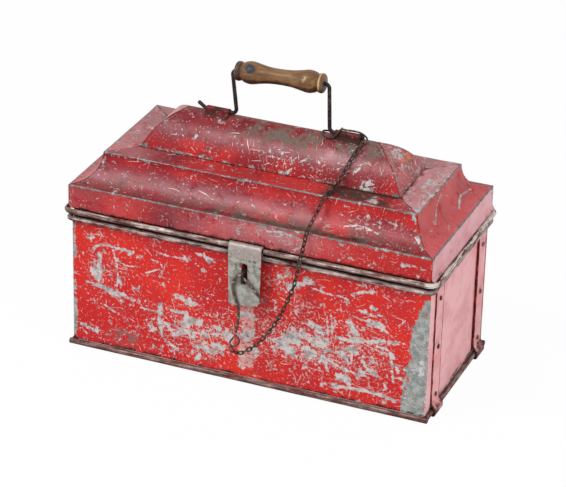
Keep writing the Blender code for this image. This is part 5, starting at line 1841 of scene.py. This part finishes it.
    def hip(self, name: str, side: int) -> None:
        """A hip: the same profile past the mitre, each row as wide as it is far from the ridge's end.

        Args:
            name: left or right.
            side: -1 for the left hip, 1 for the right.
        """
        s = self.sizes
        n = self.rows(89, 46)
        n = n[n > 2 * s.mitre_slack][:, None]
        profile = np.hstack([n, self.height(n)])
        half = n - s.mitre_slack
        run = np.linspace(-1, 1, 61)[None, :] * half
        from_mitre = half - np.abs(run)
        pale, seen = spotted(run, n, self.hip_pale), side > 0
        wear = {
            CHIPS: 0.3 + 0.4 * pale + 0.4 * smoothstep(0.018, 0.026, n),
            SCORE: 0.95 * pale * seen,
            BARE: 0.57 * ridge(from_mitre, 0.0028, 0.0014),
            GRIME_AND_SHADE: 0.6 * smoothstep(0.0013, 0.0004, from_mitre) + 0.4 * smoothstep(0.031, 0.0335, n),
            DUST_AND_SHEEN: np.full(run.shape, 0.2 if seen else 0.4),
            RUB_AND_SHEEN: spotted(run, n, *self.hip_flecks) * seen,
            FADE: np.full(run.shape, 0.25 if seen else 0.45),
        }
        grid = joined(side * (n + self.mitre), side * run, profile[:, 1:])
        uv = joined(run + 24.0 + 2 * side, distance_along(profile)[:, None])
        tag = Tag(f"crown_{name}_hip_sheet", Body.LID, Slot.CRIMSON, (f"crown_{name}_hip",))
        sheet_object(tag, grid, uv, wear, (self.finishes.hip, self.finishes.lining), s.sheet)


@dataclass
class Hasp(Assembly):
    """The slotted plate on the lid's core wire, and the staple that comes through it."""

    width: float = 0.0324
    taper: float = 0.001
    plate: float = 0.0009
    eased: float = 0.0002
    drop: float = 0.055
    slant: float = 0.005
    corner: float = 0.0035
    curl: float = math.radians(285)
    slot_width: float = 0.0058
    slot_length: float = 0.0216
    slot_drop: float = 0.014
    staple_radius: float = 0.0013
    staple_height: float = 0.0108
    staple_drop: float = 0.0219
    clinch: float = 0.006
    handled: Spot = Spot(0.4, (0.008, 0.098), (0.008, 0.009))

    def build(self) -> None:
        """Make the plate and the staple."""
        self.make_plate()
        self.make_staple()

    def make_plate(self) -> None:
        """The plate: rows from its slanted foot up to the bend and round the wire, split by the slot.

        Each half runs from an edge to the slot's side, or to the middle line above and below the slot, so the
        slot is an opening between the halves.
        """
        halves = np.stack([self.half(side) for side in (-1, 1)])
        rows, columns = halves.shape[1:3]
        quads = grid_faces(rows, columns)
        faces = np.vstack([quads, quads[:, ::-1] + rows * columns]).tolist()
        grid, arc = halves[..., :3].reshape(-1, 3), halves[..., 3].ravel()
        x = grid[:, 0] - self.sizes.hasp_x
        from_slot = np.abs(np.abs(x) - self.slot_width / 2)
        grime = 0.8 * ridge(arc, 0.1328, 0.0009) + 0.35 * ridge(arc, 0.127, 0.004)
        grime = grime + 0.5 * smoothstep(0.0018, 0.0, from_slot) * (np.abs(arc - 0.119) < 0.012)
        wear = {
            GRIME_AND_SHADE: grime + 0.35 * smoothstep(0.004, 0.0, arc - arc.min()),
            FADE: 0.75 * smoothstep(0.1325, 0.1345, arc) + spotted(x, arc, self.handled),
        }
        obj = make_object("hasp_sheet", grid, faces, self.finishes.plate, joined(x + 30.0, arc), wear)
        tidy_mesh(obj, False)
        give_wall(obj, self.plate)
        ease_edges(obj, self.eased)
        publish(obj, Tag(obj.name, Body.HASP, Slot.PLATE, ("hasp_plate",)))

    def half(self, side: int) -> Array:
        """One half of the plate's front face.

        Args:
            side: -1 for the left half, 1 for the right.

        Returns:
            Points with their height or distance round the wire, as (row, column, 4).
        """
        s = self.sizes
        top, knuckle = s.lid_bead_z, s.hasp_knuckle
        slot_top, slot_foot = top - self.slot_drop, top - self.slot_drop - self.slot_length
        r = self.slot_width / 2
        bow = r * (1 - np.cos(np.linspace(0, math.pi / 2, 7)))
        straight, above = np.linspace(slot_foot + r, slot_top - r, 8)[1:-1], np.linspace(slot_top, top, 9)[1:]
        levels = np.concatenate([slot_foot + bow, straight, slot_top - bow[::-1], above])[:, None]
        near = np.clip(np.minimum(levels - slot_foot, slot_top - levels), 0.0, r)
        opening = np.sqrt(r**2 - (r - near) ** 2)
        t, rise = np.linspace(0, 1, 13)[None, :], np.linspace(0, 1, 9)[:-1, None]
        wide = self.width / 2 - self.taper * np.clip((top - knuckle - levels) / self.drop, 0, 1)
        upper_x = side * (wide + t * (opening - wide))
        narrow = self.width / 2 - self.taper
        foot_x = side * narrow * (1 - t)
        clip = np.maximum(0.0, np.abs(foot_x) - (narrow - self.corner))
        foot_z = top - self.drop - self.slant / 2 + self.slant * foot_x / self.width + clip
        foot_rows = joined(foot_x + (upper_x[:1] - foot_x) * rise, foot_z + (slot_foot - foot_z) * rise)
        flat_x, flat_z = np.moveaxis(np.vstack([foot_rows, joined(upper_x, levels)]), -1, 0)
        flat = joined(flat_x + s.hasp_x, -s.lid_bead_y - knuckle, flat_z, flat_z)
        angle = math.pi - np.linspace(0, self.curl, 34)[1:, None]
        roll_y, roll_z = -s.lid_bead_y + knuckle * np.cos(angle), top + knuckle * np.sin(angle)
        roll = joined(upper_x[-1:] + s.hasp_x, roll_y, roll_z, top + knuckle * (math.pi - angle))
        return np.vstack([flat, roll])

    def make_staple(self) -> None:
        """The staple: a wire out through the front sheet, down and back in, with its ends turned behind."""
        s = self.sizes
        inside = -s.half_depth + s.sheet + s.gap + 2 * self.staple_radius
        bar = s.hook_y - s.hook_radius - s.gap - self.staple_radius
        top = s.lid_bead_z - self.staple_drop
        low = top - self.staple_height
        path = [(inside, top + self.clinch), (inside, top), (bar, top)]
        path += [(bar, low), (inside, low), (inside, low - self.clinch)]
        flat = fillet(path, 2 * self.staple_radius, 8)
        tag = Tag("staple_wire", Body.SHELL, Slot.WIRE, ("staple",))
        line = joined(s.hasp_x, flat[:, 0], flat[:, 1])
        wire_object(tag, line, self.staple_radius * 0.985, ACROSS, self.finishes.wire)


@dataclass
class Handle(Assembly):
    """The wire bail, its turned grip and the tunnels that hold its feet."""

    crown: Crown
    radius: float = 0.0019
    bend: float = 0.0042
    foot_left: float = -0.0775
    foot_right: float = 0.0785
    tip: Pair = (0.0066, 0.0046)
    leg_left: Pair = (-0.0461, -0.0512)
    leg_right: Pair = (0.0457, 0.0440)
    low_rise: float = 0.0428
    high_rise: float = 0.0464
    wave: float = 0.05
    grip_length: float = 0.086
    grip_shape: Bends = (
        (0.0, 0.0078), (0.0005, 0.0086), (0.0014, 0.0091), (0.0036, 0.0091), (0.0046, 0.0087),
        (0.0056, 0.0082), (0.0068, 0.0084), (0.0082, 0.0093), (0.0108, 0.0101), (0.0142, 0.0106),
        (0.0178, 0.0103), (0.0236, 0.0091), (0.0308, 0.0079), (0.0380, 0.0074), (0.0430, 0.0073),
    )
    grip_stain: Spot = Spot(1.0, (-0.0266, math.radians(47)), (0.0058, 0.5))
    # A painted highlight on the right bulge.
    grip_shine: Spot = Spot(0.5, (0.0265, math.radians(60)), (0.003, 0.7))
    tunnels: tuple[tuple[str, float, float], ...] = (("left", -0.0757, -0.0528), ("right", 0.0515, 0.0770))
    tunnel_reach: float = 0.0085
    grip_sides: int = 48

    @property
    def foot_z(self) -> float:
        """Height of the feet's axis over the ridge."""
        return float(self.crown.height(np.zeros(1))[0]) + self.sizes.gap + self.radius

    @classmethod
    def slope(cls) -> float:
        """The grip's slope, from the legs' tops."""
        return math.atan2(cls.high_rise - cls.low_rise, cls.leg_right[1] - cls.leg_left[1])

    def build(self) -> None:
        """Make the bail, the grip and the tunnels."""
        self.make_bail()
        self.make_grip()
        for name, low, high in self.tunnels:
            self.make_tunnel(name, low, high)

    def make_bail(self) -> None:
        """The bail: a wire from its turned-up left tip along the foot, up, through the grip and down."""
        z = self.foot_z
        path = [(self.foot_left - self.tip[0], z + self.tip[1]), (self.foot_left, z), (self.leg_left[0], z)]
        path += [(self.leg_left[1], z + self.low_rise), (self.leg_right[1], z + self.high_rise)]
        path += [(self.leg_right[0], z), (self.foot_right, z)]
        flat = refined(fillet(path, self.bend, 8), 0.004)
        line, size = dome_ends(joined(flat[:, 0], 0.0, flat[:, 1]), self.radius * 0.99)
        tag = Tag("bail_wire", Body.HANDLE, Slot.WIRE, ("bail",))
        wire_object(tag, line, wander(line, size, self.wave), INWARDS, self.finishes.wire, 16)

    def make_grip(self) -> None:
        """The grip: a turned profile, spun about the wire's line, with a bore through it."""
        half, sides = self.grip_length / 2, self.grip_sides
        left = through(np.array(self.grip_shape), 5)
        bore = self.radius + self.sizes.gap
        along = np.concatenate([[-half], left[:, 0] - half, half - left[-2::-1, 0], [half]])
        radius = np.concatenate([[bore], left[:, 1], left[-2::-1, 1], [bore]])[:, None]
        u, q = np.broadcast_arrays(along[:, None], turns(sides)[None, :])
        up = radius * np.cos(q)
        c, n = math.cos(self.slope()), math.sin(self.slope())
        middle_x = (self.leg_left[1] + self.leg_right[1]) / 2
        middle_z = self.foot_z + (self.low_rise + self.high_rise) / 2
        grid = joined(middle_x + u * c - up * n, -radius * np.sin(q), middle_z + u * n + up * c)
        from_end = half - np.abs(u)
        # Painted shade: darker underneath, in the grooves by the collars and in the bore; the left end is
        # darker too.
        under = smoothstep(0.15, -0.6, np.cos(q))
        collars = ridge(from_end, 0.0056, 0.0013) + 0.8 * smoothstep(0.0075, 0.0045, half + u)
        in_bore = smoothstep(0.0045, 0.003, radius) * (from_end < 0.001)
        wear = {
            GRIME_AND_SHADE: (0.75 * under + 0.55 * collars + 0.6 * in_bore).ravel(),
            BARE: spotted(u, q, self.grip_stain).ravel(),
            # A pale ring at the right end, and the painted highlight.
            RUB_AND_SHEEN: (0.9 * ridge(half - u, 0.0028, 0.001) + spotted(u, q, self.grip_shine)).ravel(),
        }
        faces = grid_faces(len(along), sides, True, True).tolist()
        obj = make_object("grip_wood", grid.reshape(-1, 3), faces, self.finishes.wood, None, wear, 55.0)
        tidy_mesh(obj, True)
        publish(obj, Tag(obj.name, Body.GRIP, Slot.WOOD, ("grip",)))

    def make_tunnel(self, name: str, low: float, high: float) -> None:
        """A tunnel: a sheet that lies on the crown, arches over the wire and lies down again, along X.

        Args:
            name: left or right.
            low: Where it starts along X.
            high: Where it ends.
        """
        s = self.sizes
        arch = self.radius + s.gap + s.sheet
        y = np.linspace(-self.tunnel_reach, -arch, 9)
        flange = joined(y, self.crown.height(y) + s.gap + s.sheet)
        q = np.linspace(math.pi, 0, 19)
        over = joined(arch * np.cos(q), self.foot_z + arch * np.sin(q))
        line = np.vstack([flange, over[1:-1], flange[::-1] * [-1, 1]])
        x, y = np.linspace(low, high, 24)[None, :], line[:, :1]
        ends = smoothstep(0.002, 0.0, np.minimum(x - low, high - x))
        lip = smoothstep(0.0014, 0.0004, self.tunnel_reach - np.abs(y))
        crest = smoothstep(0.004, 0.0, np.abs(y))
        # Painted light: lighter along the arch's crest, with painted shade down its sides.
        wear = {
            CHIPS: 0.1 + 0.3 * ends + 0.3 * lip,
            GRIME_AND_SHADE: 0.45 + 0.35 * ends + 0.3 * (1 - crest) * (1 - lip),
            FRESH_AND_LIT: np.full(x.shape, -0.7),
            BARE: 0.63 * lip,
            RUB_AND_SHEEN: 0.1 * crest,
        }
        uv = joined(x + 33.0, distance_along(line)[:, None])
        tag = Tag(f"{name}_tunnel_sheet", Body.LID, Slot.CRIMSON, (f"{name}_bail_tunnel",))
        sheet_object(tag, joined(x, y, line[:, 1:]), uv, wear, self.finishes.lid_sheet, s.sheet)


@dataclass
class Tether(Assembly):
    """The link round the bail's leg, the chain, the hook and its end loop."""

    handle: Handle
    over_lid: Route = (
        (0.0806, -0.0076, 0.2312), (0.0790, -0.0126, 0.2286), (0.0766, -0.0203, 0.2230),
        (0.0736, -0.0286, 0.2140), (0.0712, -0.0355, 0.2064), (0.0695, -0.0450, 0.2015),
        (0.0682, -0.0535, 0.2007), (0.0666, -0.0606, 0.1996), (0.0639, -0.0696, 0.1890),
        (0.0612, -0.0782, 0.1795), (0.0596, -0.0847, 0.1727), (0.0587, -0.0868, 0.1650),
        (0.0573, -0.0890, 0.1545), (0.0560, -0.0903, 0.1465), (0.0556, -0.0904, 0.1444),
    )
    hanging: Route = (
        (0.0555, -0.0904, 0.1440), (0.0542, -0.0904, 0.1360), (0.0504, -0.0904, 0.1180),
        (0.0462, -0.0904, 0.1060), (0.0383, -0.0904, 0.0862), (0.0274, -0.0904, 0.0665),
        (0.0163, -0.0904, 0.0515), (0.0069, -0.0904, 0.0424), (-0.0016, -0.0904, 0.0374),
        (-0.0074, -0.0904, 0.0378), (-0.0106, -0.0904, 0.0414),
    )
    leaves_lid: Triple = (0.0577, -0.0890, 0.1570)
    leaves_tether: Triple = (0.0462, -0.0904, 0.1060)
    joins_hook: Triple = (-0.0060, -0.0904, 0.0390)
    hook_bends: Bends = (
        (0.0234, -0.0220), (0.0191, -0.0196), (0.0085, -0.0093), (0.0000, -0.0008), (-0.0034, 0.0012),
        (-0.0074, -0.0017), (-0.0100, -0.0082), (-0.0098, -0.0162), (-0.0068, -0.0260), (-0.0044, -0.0332),
        (-0.0042, -0.0422), (-0.0058, -0.0532), (-0.0066, -0.0585),
    )
    end_loop: Bends = (
        (0.0000, -0.0026), (-0.0032, -0.0072), (-0.0056, -0.0112), (-0.0046, -0.0142), (-0.0014, -0.0150),
        (0.0026, -0.0118), (0.0036, -0.0078), (0.0016, -0.0044),
    )
    link_loop: Route = (
        (0.0070, 0.0062, 0.0029), (0.0026, 0.0080, 0.0021), (-0.0045, 0.0050, 0.0015), (-0.0062, 0.0, 0.0015),
        (-0.0045, -0.0050, 0.0015), (0.0026, -0.0080, 0.0021), (0.0070, -0.0062, 0.0029),
    )
    loop_radius: float = 0.0008
    link_wire: float = 0.0009
    link_lift: float = 0.0015
    link_aim: Triple = (0.31, 0.22, 0.92)
    shank_start: float = 0.0055
    shank_straight: float = 0.005
    shank_end: float = 0.002
    shank_y: float = -0.0016
    tail_y: float = 0.0024
    knee: Triple = (0.0014, 0.0, 0.0012)
    knee_reach: float = 0.0052
    staple_z: float = 0.1167
    pitch: float = 0.0050
    link_length: float = 0.0076
    link_width: float = 0.0044
    link_gauge: float = 0.00065
    link_sides: int = 8
    looseness: float = 0.22

    def build(self) -> None:
        """Make the chain's two stretches, the top link, the hook and the end loop."""
        hook, loop = self.make_hook()
        top = self.make_top_link()
        upper = self.chain("chain_on_lid", self.over_lid, ACROSS, 0.4)
        enter(upper[0], Tag("chain_on_lid", Body.LID, Slot.WIRE, ("chain_over_lid",)))
        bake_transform(upper[0])
        lower = self.chain("chain_to_hook", self.hanging, INWARDS, 0.2)
        enter(lower[0], Tag("chain_to_hook", Body.TETHER, Slot.WIRE, ("chain_hanging",)))
        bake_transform(lower[0])
        self.declare(upper, "object", "taut", [top])
        self.declare(lower, "fitting", "hanging", [loop, hook])

    def declare(self, made: Stretch, far_end: str, lay: str, pieces: list[MeshObject]) -> None:
        """Do nothing with a stretch of chain.

        Args:
            made: The stretch and its curve; not used.
            far_end: What its far end is on; not used.
            lay: How it lies; not used.
            pieces: The pieces that go with it; not used.
        """

    def chain(self, name: str, route: Route, aim: Triple, roll: float) -> Stretch:
        """A stretch of chain: stadium-shaped links along a curve, each a quarter turn from the last.

        A link's wire follows a stadium: half circles of radius w joined by straights, swept by a circle.

        Args:
            name: The object's name.
            route: The curve's own points.
            aim: A direction that the curve never takes.
            roll: How far the first link is turned about the curve.

        Returns:
            The object and the curve's points.
        """
        curve = through(np.array(route), 12)
        length = distance_along(curve)[-1]
        count = max(2, round(length / self.pitch))
        nodes = at_distances(curve, np.linspace(0.0, length, count + 1))
        middle, forward = (nodes[:-1] + nodes[1:]) / 2, unit(np.diff(nodes, axis=0))
        a = unit(np.cross(np.asarray(aim, float), forward))
        b = np.cross(forward, a)
        loose = np.random.default_rng(8).uniform(-self.looseness, self.looseness, count)
        angle = (roll + np.arange(count) * math.pi / 2 + loose)[:, None]
        side = a * np.cos(angle) + b * np.sin(angle)
        w = self.link_width / 2 - self.link_gauge
        straight = self.link_length / 2 - self.link_gauge - w
        q = np.linspace(-math.pi / 2, math.pi / 2, 7)
        right = joined(straight + w * np.cos(q), w * np.sin(q))
        oval = np.vstack([right, -right])
        ring = swept(joined(oval[:, 0], oval[:, 1], 0.0), self.link_gauge, UP, self.link_sides, True)
        local = ring.reshape(1, -1, 3)
        axes = (forward[:, None], side[:, None], np.cross(forward, side)[:, None])
        points = middle[:, None] + sum(local[..., k : k + 1] * axis for k, axis in enumerate(axes))
        quads = grid_faces(len(oval), self.link_sides, True, True)
        faces = (quads[None] + (np.arange(count) * local.shape[1])[:, None, None]).reshape(-1, 4)
        obj = make_object(name, points.reshape(-1, 3), faces.tolist(), self.finishes.chain)
        tidy_mesh(obj, True)
        return obj, curve

    def make_hook(self) -> tuple[MeshObject, MeshObject]:
        """The hook, a wire bent in one plane in front of the hasp, and the loop on its foot.

        Returns:
            The hook and the loop.
        """
        s = self.sizes
        flat = through(np.array(self.hook_bends), 6) + [s.hasp_x, self.staple_z]
        line = joined(flat[:, 0], s.hook_y, flat[:, 1])
        size = wander(line, s.hook_radius * 0.985, 0.06)
        tag = Tag("hook_wire", Body.HOOK, Slot.WIRE, ("hook",))
        hook = wire_object(tag, line, size, INWARDS, self.finishes.hook)
        ring = flat[-1] + through(np.array(self.end_loop), 6, True)
        line = joined(ring[:, 0], s.hook_y, ring[:, 1])
        tag = Tag("end_loop_wire", Body.HOOK, Slot.WIRE, ("chain_end_loop",))
        return hook, wire_object(tag, line, self.loop_radius, INWARDS, self.finishes.hook, 10, True)

    def make_top_link(self) -> MeshObject:
        """The long link: a loop over the ridge round the leg, a shank on the tunnel and a drop to the chain.

        Returns:
            The link.
        """
        s, h = self.sizes, self.handle
        _, tunnel_low, tunnel_high = h.tunnels[1]
        shank_x = tunnel_low + self.shank_start
        shank_z = h.foot_z + h.radius + s.gap + s.sheet + self.link_lift
        start = np.array(self.over_lid[0])
        lead = unit(start - np.array(self.over_lid[1]))
        loop = np.array(self.link_loop) + [h.leg_right[0], 0.0, 0.0]
        loop[:, 2] += h.crown.height(loop[:, 1])
        shank = [(shank_x, self.shank_y, shank_z), (shank_x + self.shank_straight, 0.0, shank_z)]
        shank.append((tunnel_high - self.shank_end, 0.0, shank_z))
        drop = [start + lead * self.knee_reach + np.array(self.knee), start + lead * 2 * s.gap]
        line = through(np.vstack([[(shank_x, self.tail_y, shank_z)], loop, shank, drop]), 7)
        tag = Tag("top_link_wire", Body.LID, Slot.WIRE, ("chain_top_link",))
        return wire_object(tag, line, self.link_wire, self.link_aim, self.finishes.chain, 10)


@dataclass
class PlainNodes:
    """Solids of the part that are right as they are, and take a finish."""

    finishes: Finishes
    wire_nodes: tuple[str, ...] = (
        "left_hinge_body_leaf", "right_hinge_body_leaf", "left_hinge_lid_leaf", "right_hinge_lid_leaf",
        "left_hinge_pin", "right_hinge_pin", "hasp_wire", "bottom_panel",
    )

    def dress(self, nodes: dict[str, MeshObject]) -> None:
        """Put the finish on the solids.

        Args:
            nodes: The part's solids by name.
        """
        for name in self.wire_nodes:
            for slot in nodes[name].material_slots:
                slot.material = self.finishes.wire
            LOG.info("%s: solid kept", name)


@dataclass(frozen=True)
class Lamp:
    """A soft square lamp: where it stands, its side and its power in watts."""

    name: str
    place: Triple
    size: float
    power: float


@dataclass
class Studio:
    """The camera at the photograph's angle, a pale floor and soft light."""

    azimuth: float = math.radians(21.913)
    elevation: float = math.radians(27.021)
    roll: float = math.radians(1.436)
    distance: float = 2.5876
    aim: Triple = (0.0028, 0.0, 0.1098)
    focal_pixels: float = 2770.93
    image_width: float = 566.0
    sensor: float = 36.0
    floor_reach: float = 9.0
    floor_glow: float = 0.97
    ambient: float = 0.36
    lamps: tuple[Lamp, ...] = (
        Lamp("key_left", (-1.5, -1.5, 1.25), 0.7, 13.0),
        Lamp("sheen", (-0.53, -0.73, 1.45), 0.4, 10.0),
        Lamp("fill_right", (1.7, -0.7, 0.9), 1.2, 15.0),
        Lamp("top_soft", (0.1, 0.5, 1.9), 1.6, 4.0),
    )

    def build(self) -> None:
        """Set the camera, the floor, the lamps and the world."""
        self.camera()
        self.floor()
        for lamp in self.lamps:
            self.light(lamp)
        self.world()
        bpy.context.scene.view_settings.view_transform = "Standard"

    def camera(self) -> None:
        """A long lens on the fitted view, with the photograph's slight roll."""
        flat, height = math.cos(self.elevation), math.sin(self.elevation)
        back = Vector((math.sin(self.azimuth) * flat, -math.cos(self.azimuth) * flat, height))
        right = Vector(UP).cross(back).normalized()
        up = back.cross(right)
        c, n = math.cos(self.roll), math.sin(self.roll)
        data = bpy.data.cameras.new("view")
        data.sensor_fit = "HORIZONTAL"
        data.sensor_width = self.sensor
        data.lens = self.focal_pixels * self.sensor / self.image_width
        data.clip_end = 50.0
        camera = bpy.data.objects.new("view", data)
        axes = Matrix((right * c + up * n, up * c - right * n, back)).transposed().to_4x4()
        camera.matrix_world = Matrix.Translation(Vector(self.aim) + back * self.distance) @ axes
        bpy.context.collection.objects.link(camera)
        bpy.context.scene.camera = camera

    def floor(self) -> None:
        """A pale floor that looks white to the camera and keeps a light shadow."""
        far = self.floor_reach
        mesh = bpy.data.meshes.new("floor")
        mesh.from_pydata([(-far, -far, 0), (far, -far, 0), (far, far, 0), (-far, far, 0)], [], [(0, 1, 2, 3)])
        r = Recipe(bpy.data.materials.new("pale_floor"))
        r.use("Base Color", (0.9, 0.9, 0.9))
        r.use("Roughness", 0.9)
        r.use("Specular IOR Level", 0.0)
        white = r.node("Emission", {}).outputs[0]
        r.surface("Material Output", r.seen_white(r.shader.outputs[0], white, self.floor_glow))
        mesh.materials.append(r.owner)
        floor = bpy.data.objects.new("floor", mesh)
        bpy.context.collection.objects.link(floor)

    def light(self, lamp: Lamp) -> None:
        """Put up a lamp that faces the box."""
        data = bpy.data.lights.new(lamp.name, "AREA")
        data.shape = "SQUARE"
        data.size = lamp.size
        data.energy = lamp.power
        obj = bpy.data.objects.new(lamp.name, data)
        obj.location = lamp.place
        obj.rotation_euler = (Vector(lamp.place) - Vector(self.aim)).to_track_quat("Z", "Y").to_euler()
        bpy.context.collection.objects.link(obj)

    def world(self) -> None:
        """White where the camera, a reflection or glass sees it, and a quieter light on matt surfaces."""
        r = Recipe(bpy.data.worlds.new("studio"))
        lit, white = r.tree.nodes["Background"], r.node("Background", {"Strength": 1.0})
        r.feed(lit.inputs["Strength"], self.ambient)
        for node in (lit, white):
            r.feed(node.inputs["Color"], (1.0, 1.0, 1.0))
        r.surface("World Output", r.seen_white(lit.outputs[0], white.outputs[0]))
        bpy.context.scene.world = r.owner


def main() -> None:
    """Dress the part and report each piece."""
    logging.basicConfig(level=logging.INFO, format="%(name)s %(message)s")
    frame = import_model()
    sizes = BoxSizes()
    Studio().build()
    finishes = Finishes.make(Handle.slope())
    crown = Crown(sizes, finishes)
    handle = Handle(sizes, finishes, crown)
    Tether(sizes, finishes, handle).build()
    BodyShell(sizes, finishes).build()
    RolledEdges(sizes, finishes).build()
    EndStraps(sizes, finishes).build()
    StepLid(sizes, finishes).build()
    crown.build()
    Hasp(sizes, finishes).build()
    handle.build()
    PlainNodes(finishes).dress(frame["nodes"])
    bpy.context.view_layer.update()


if __name__ == "__main__":
    main()
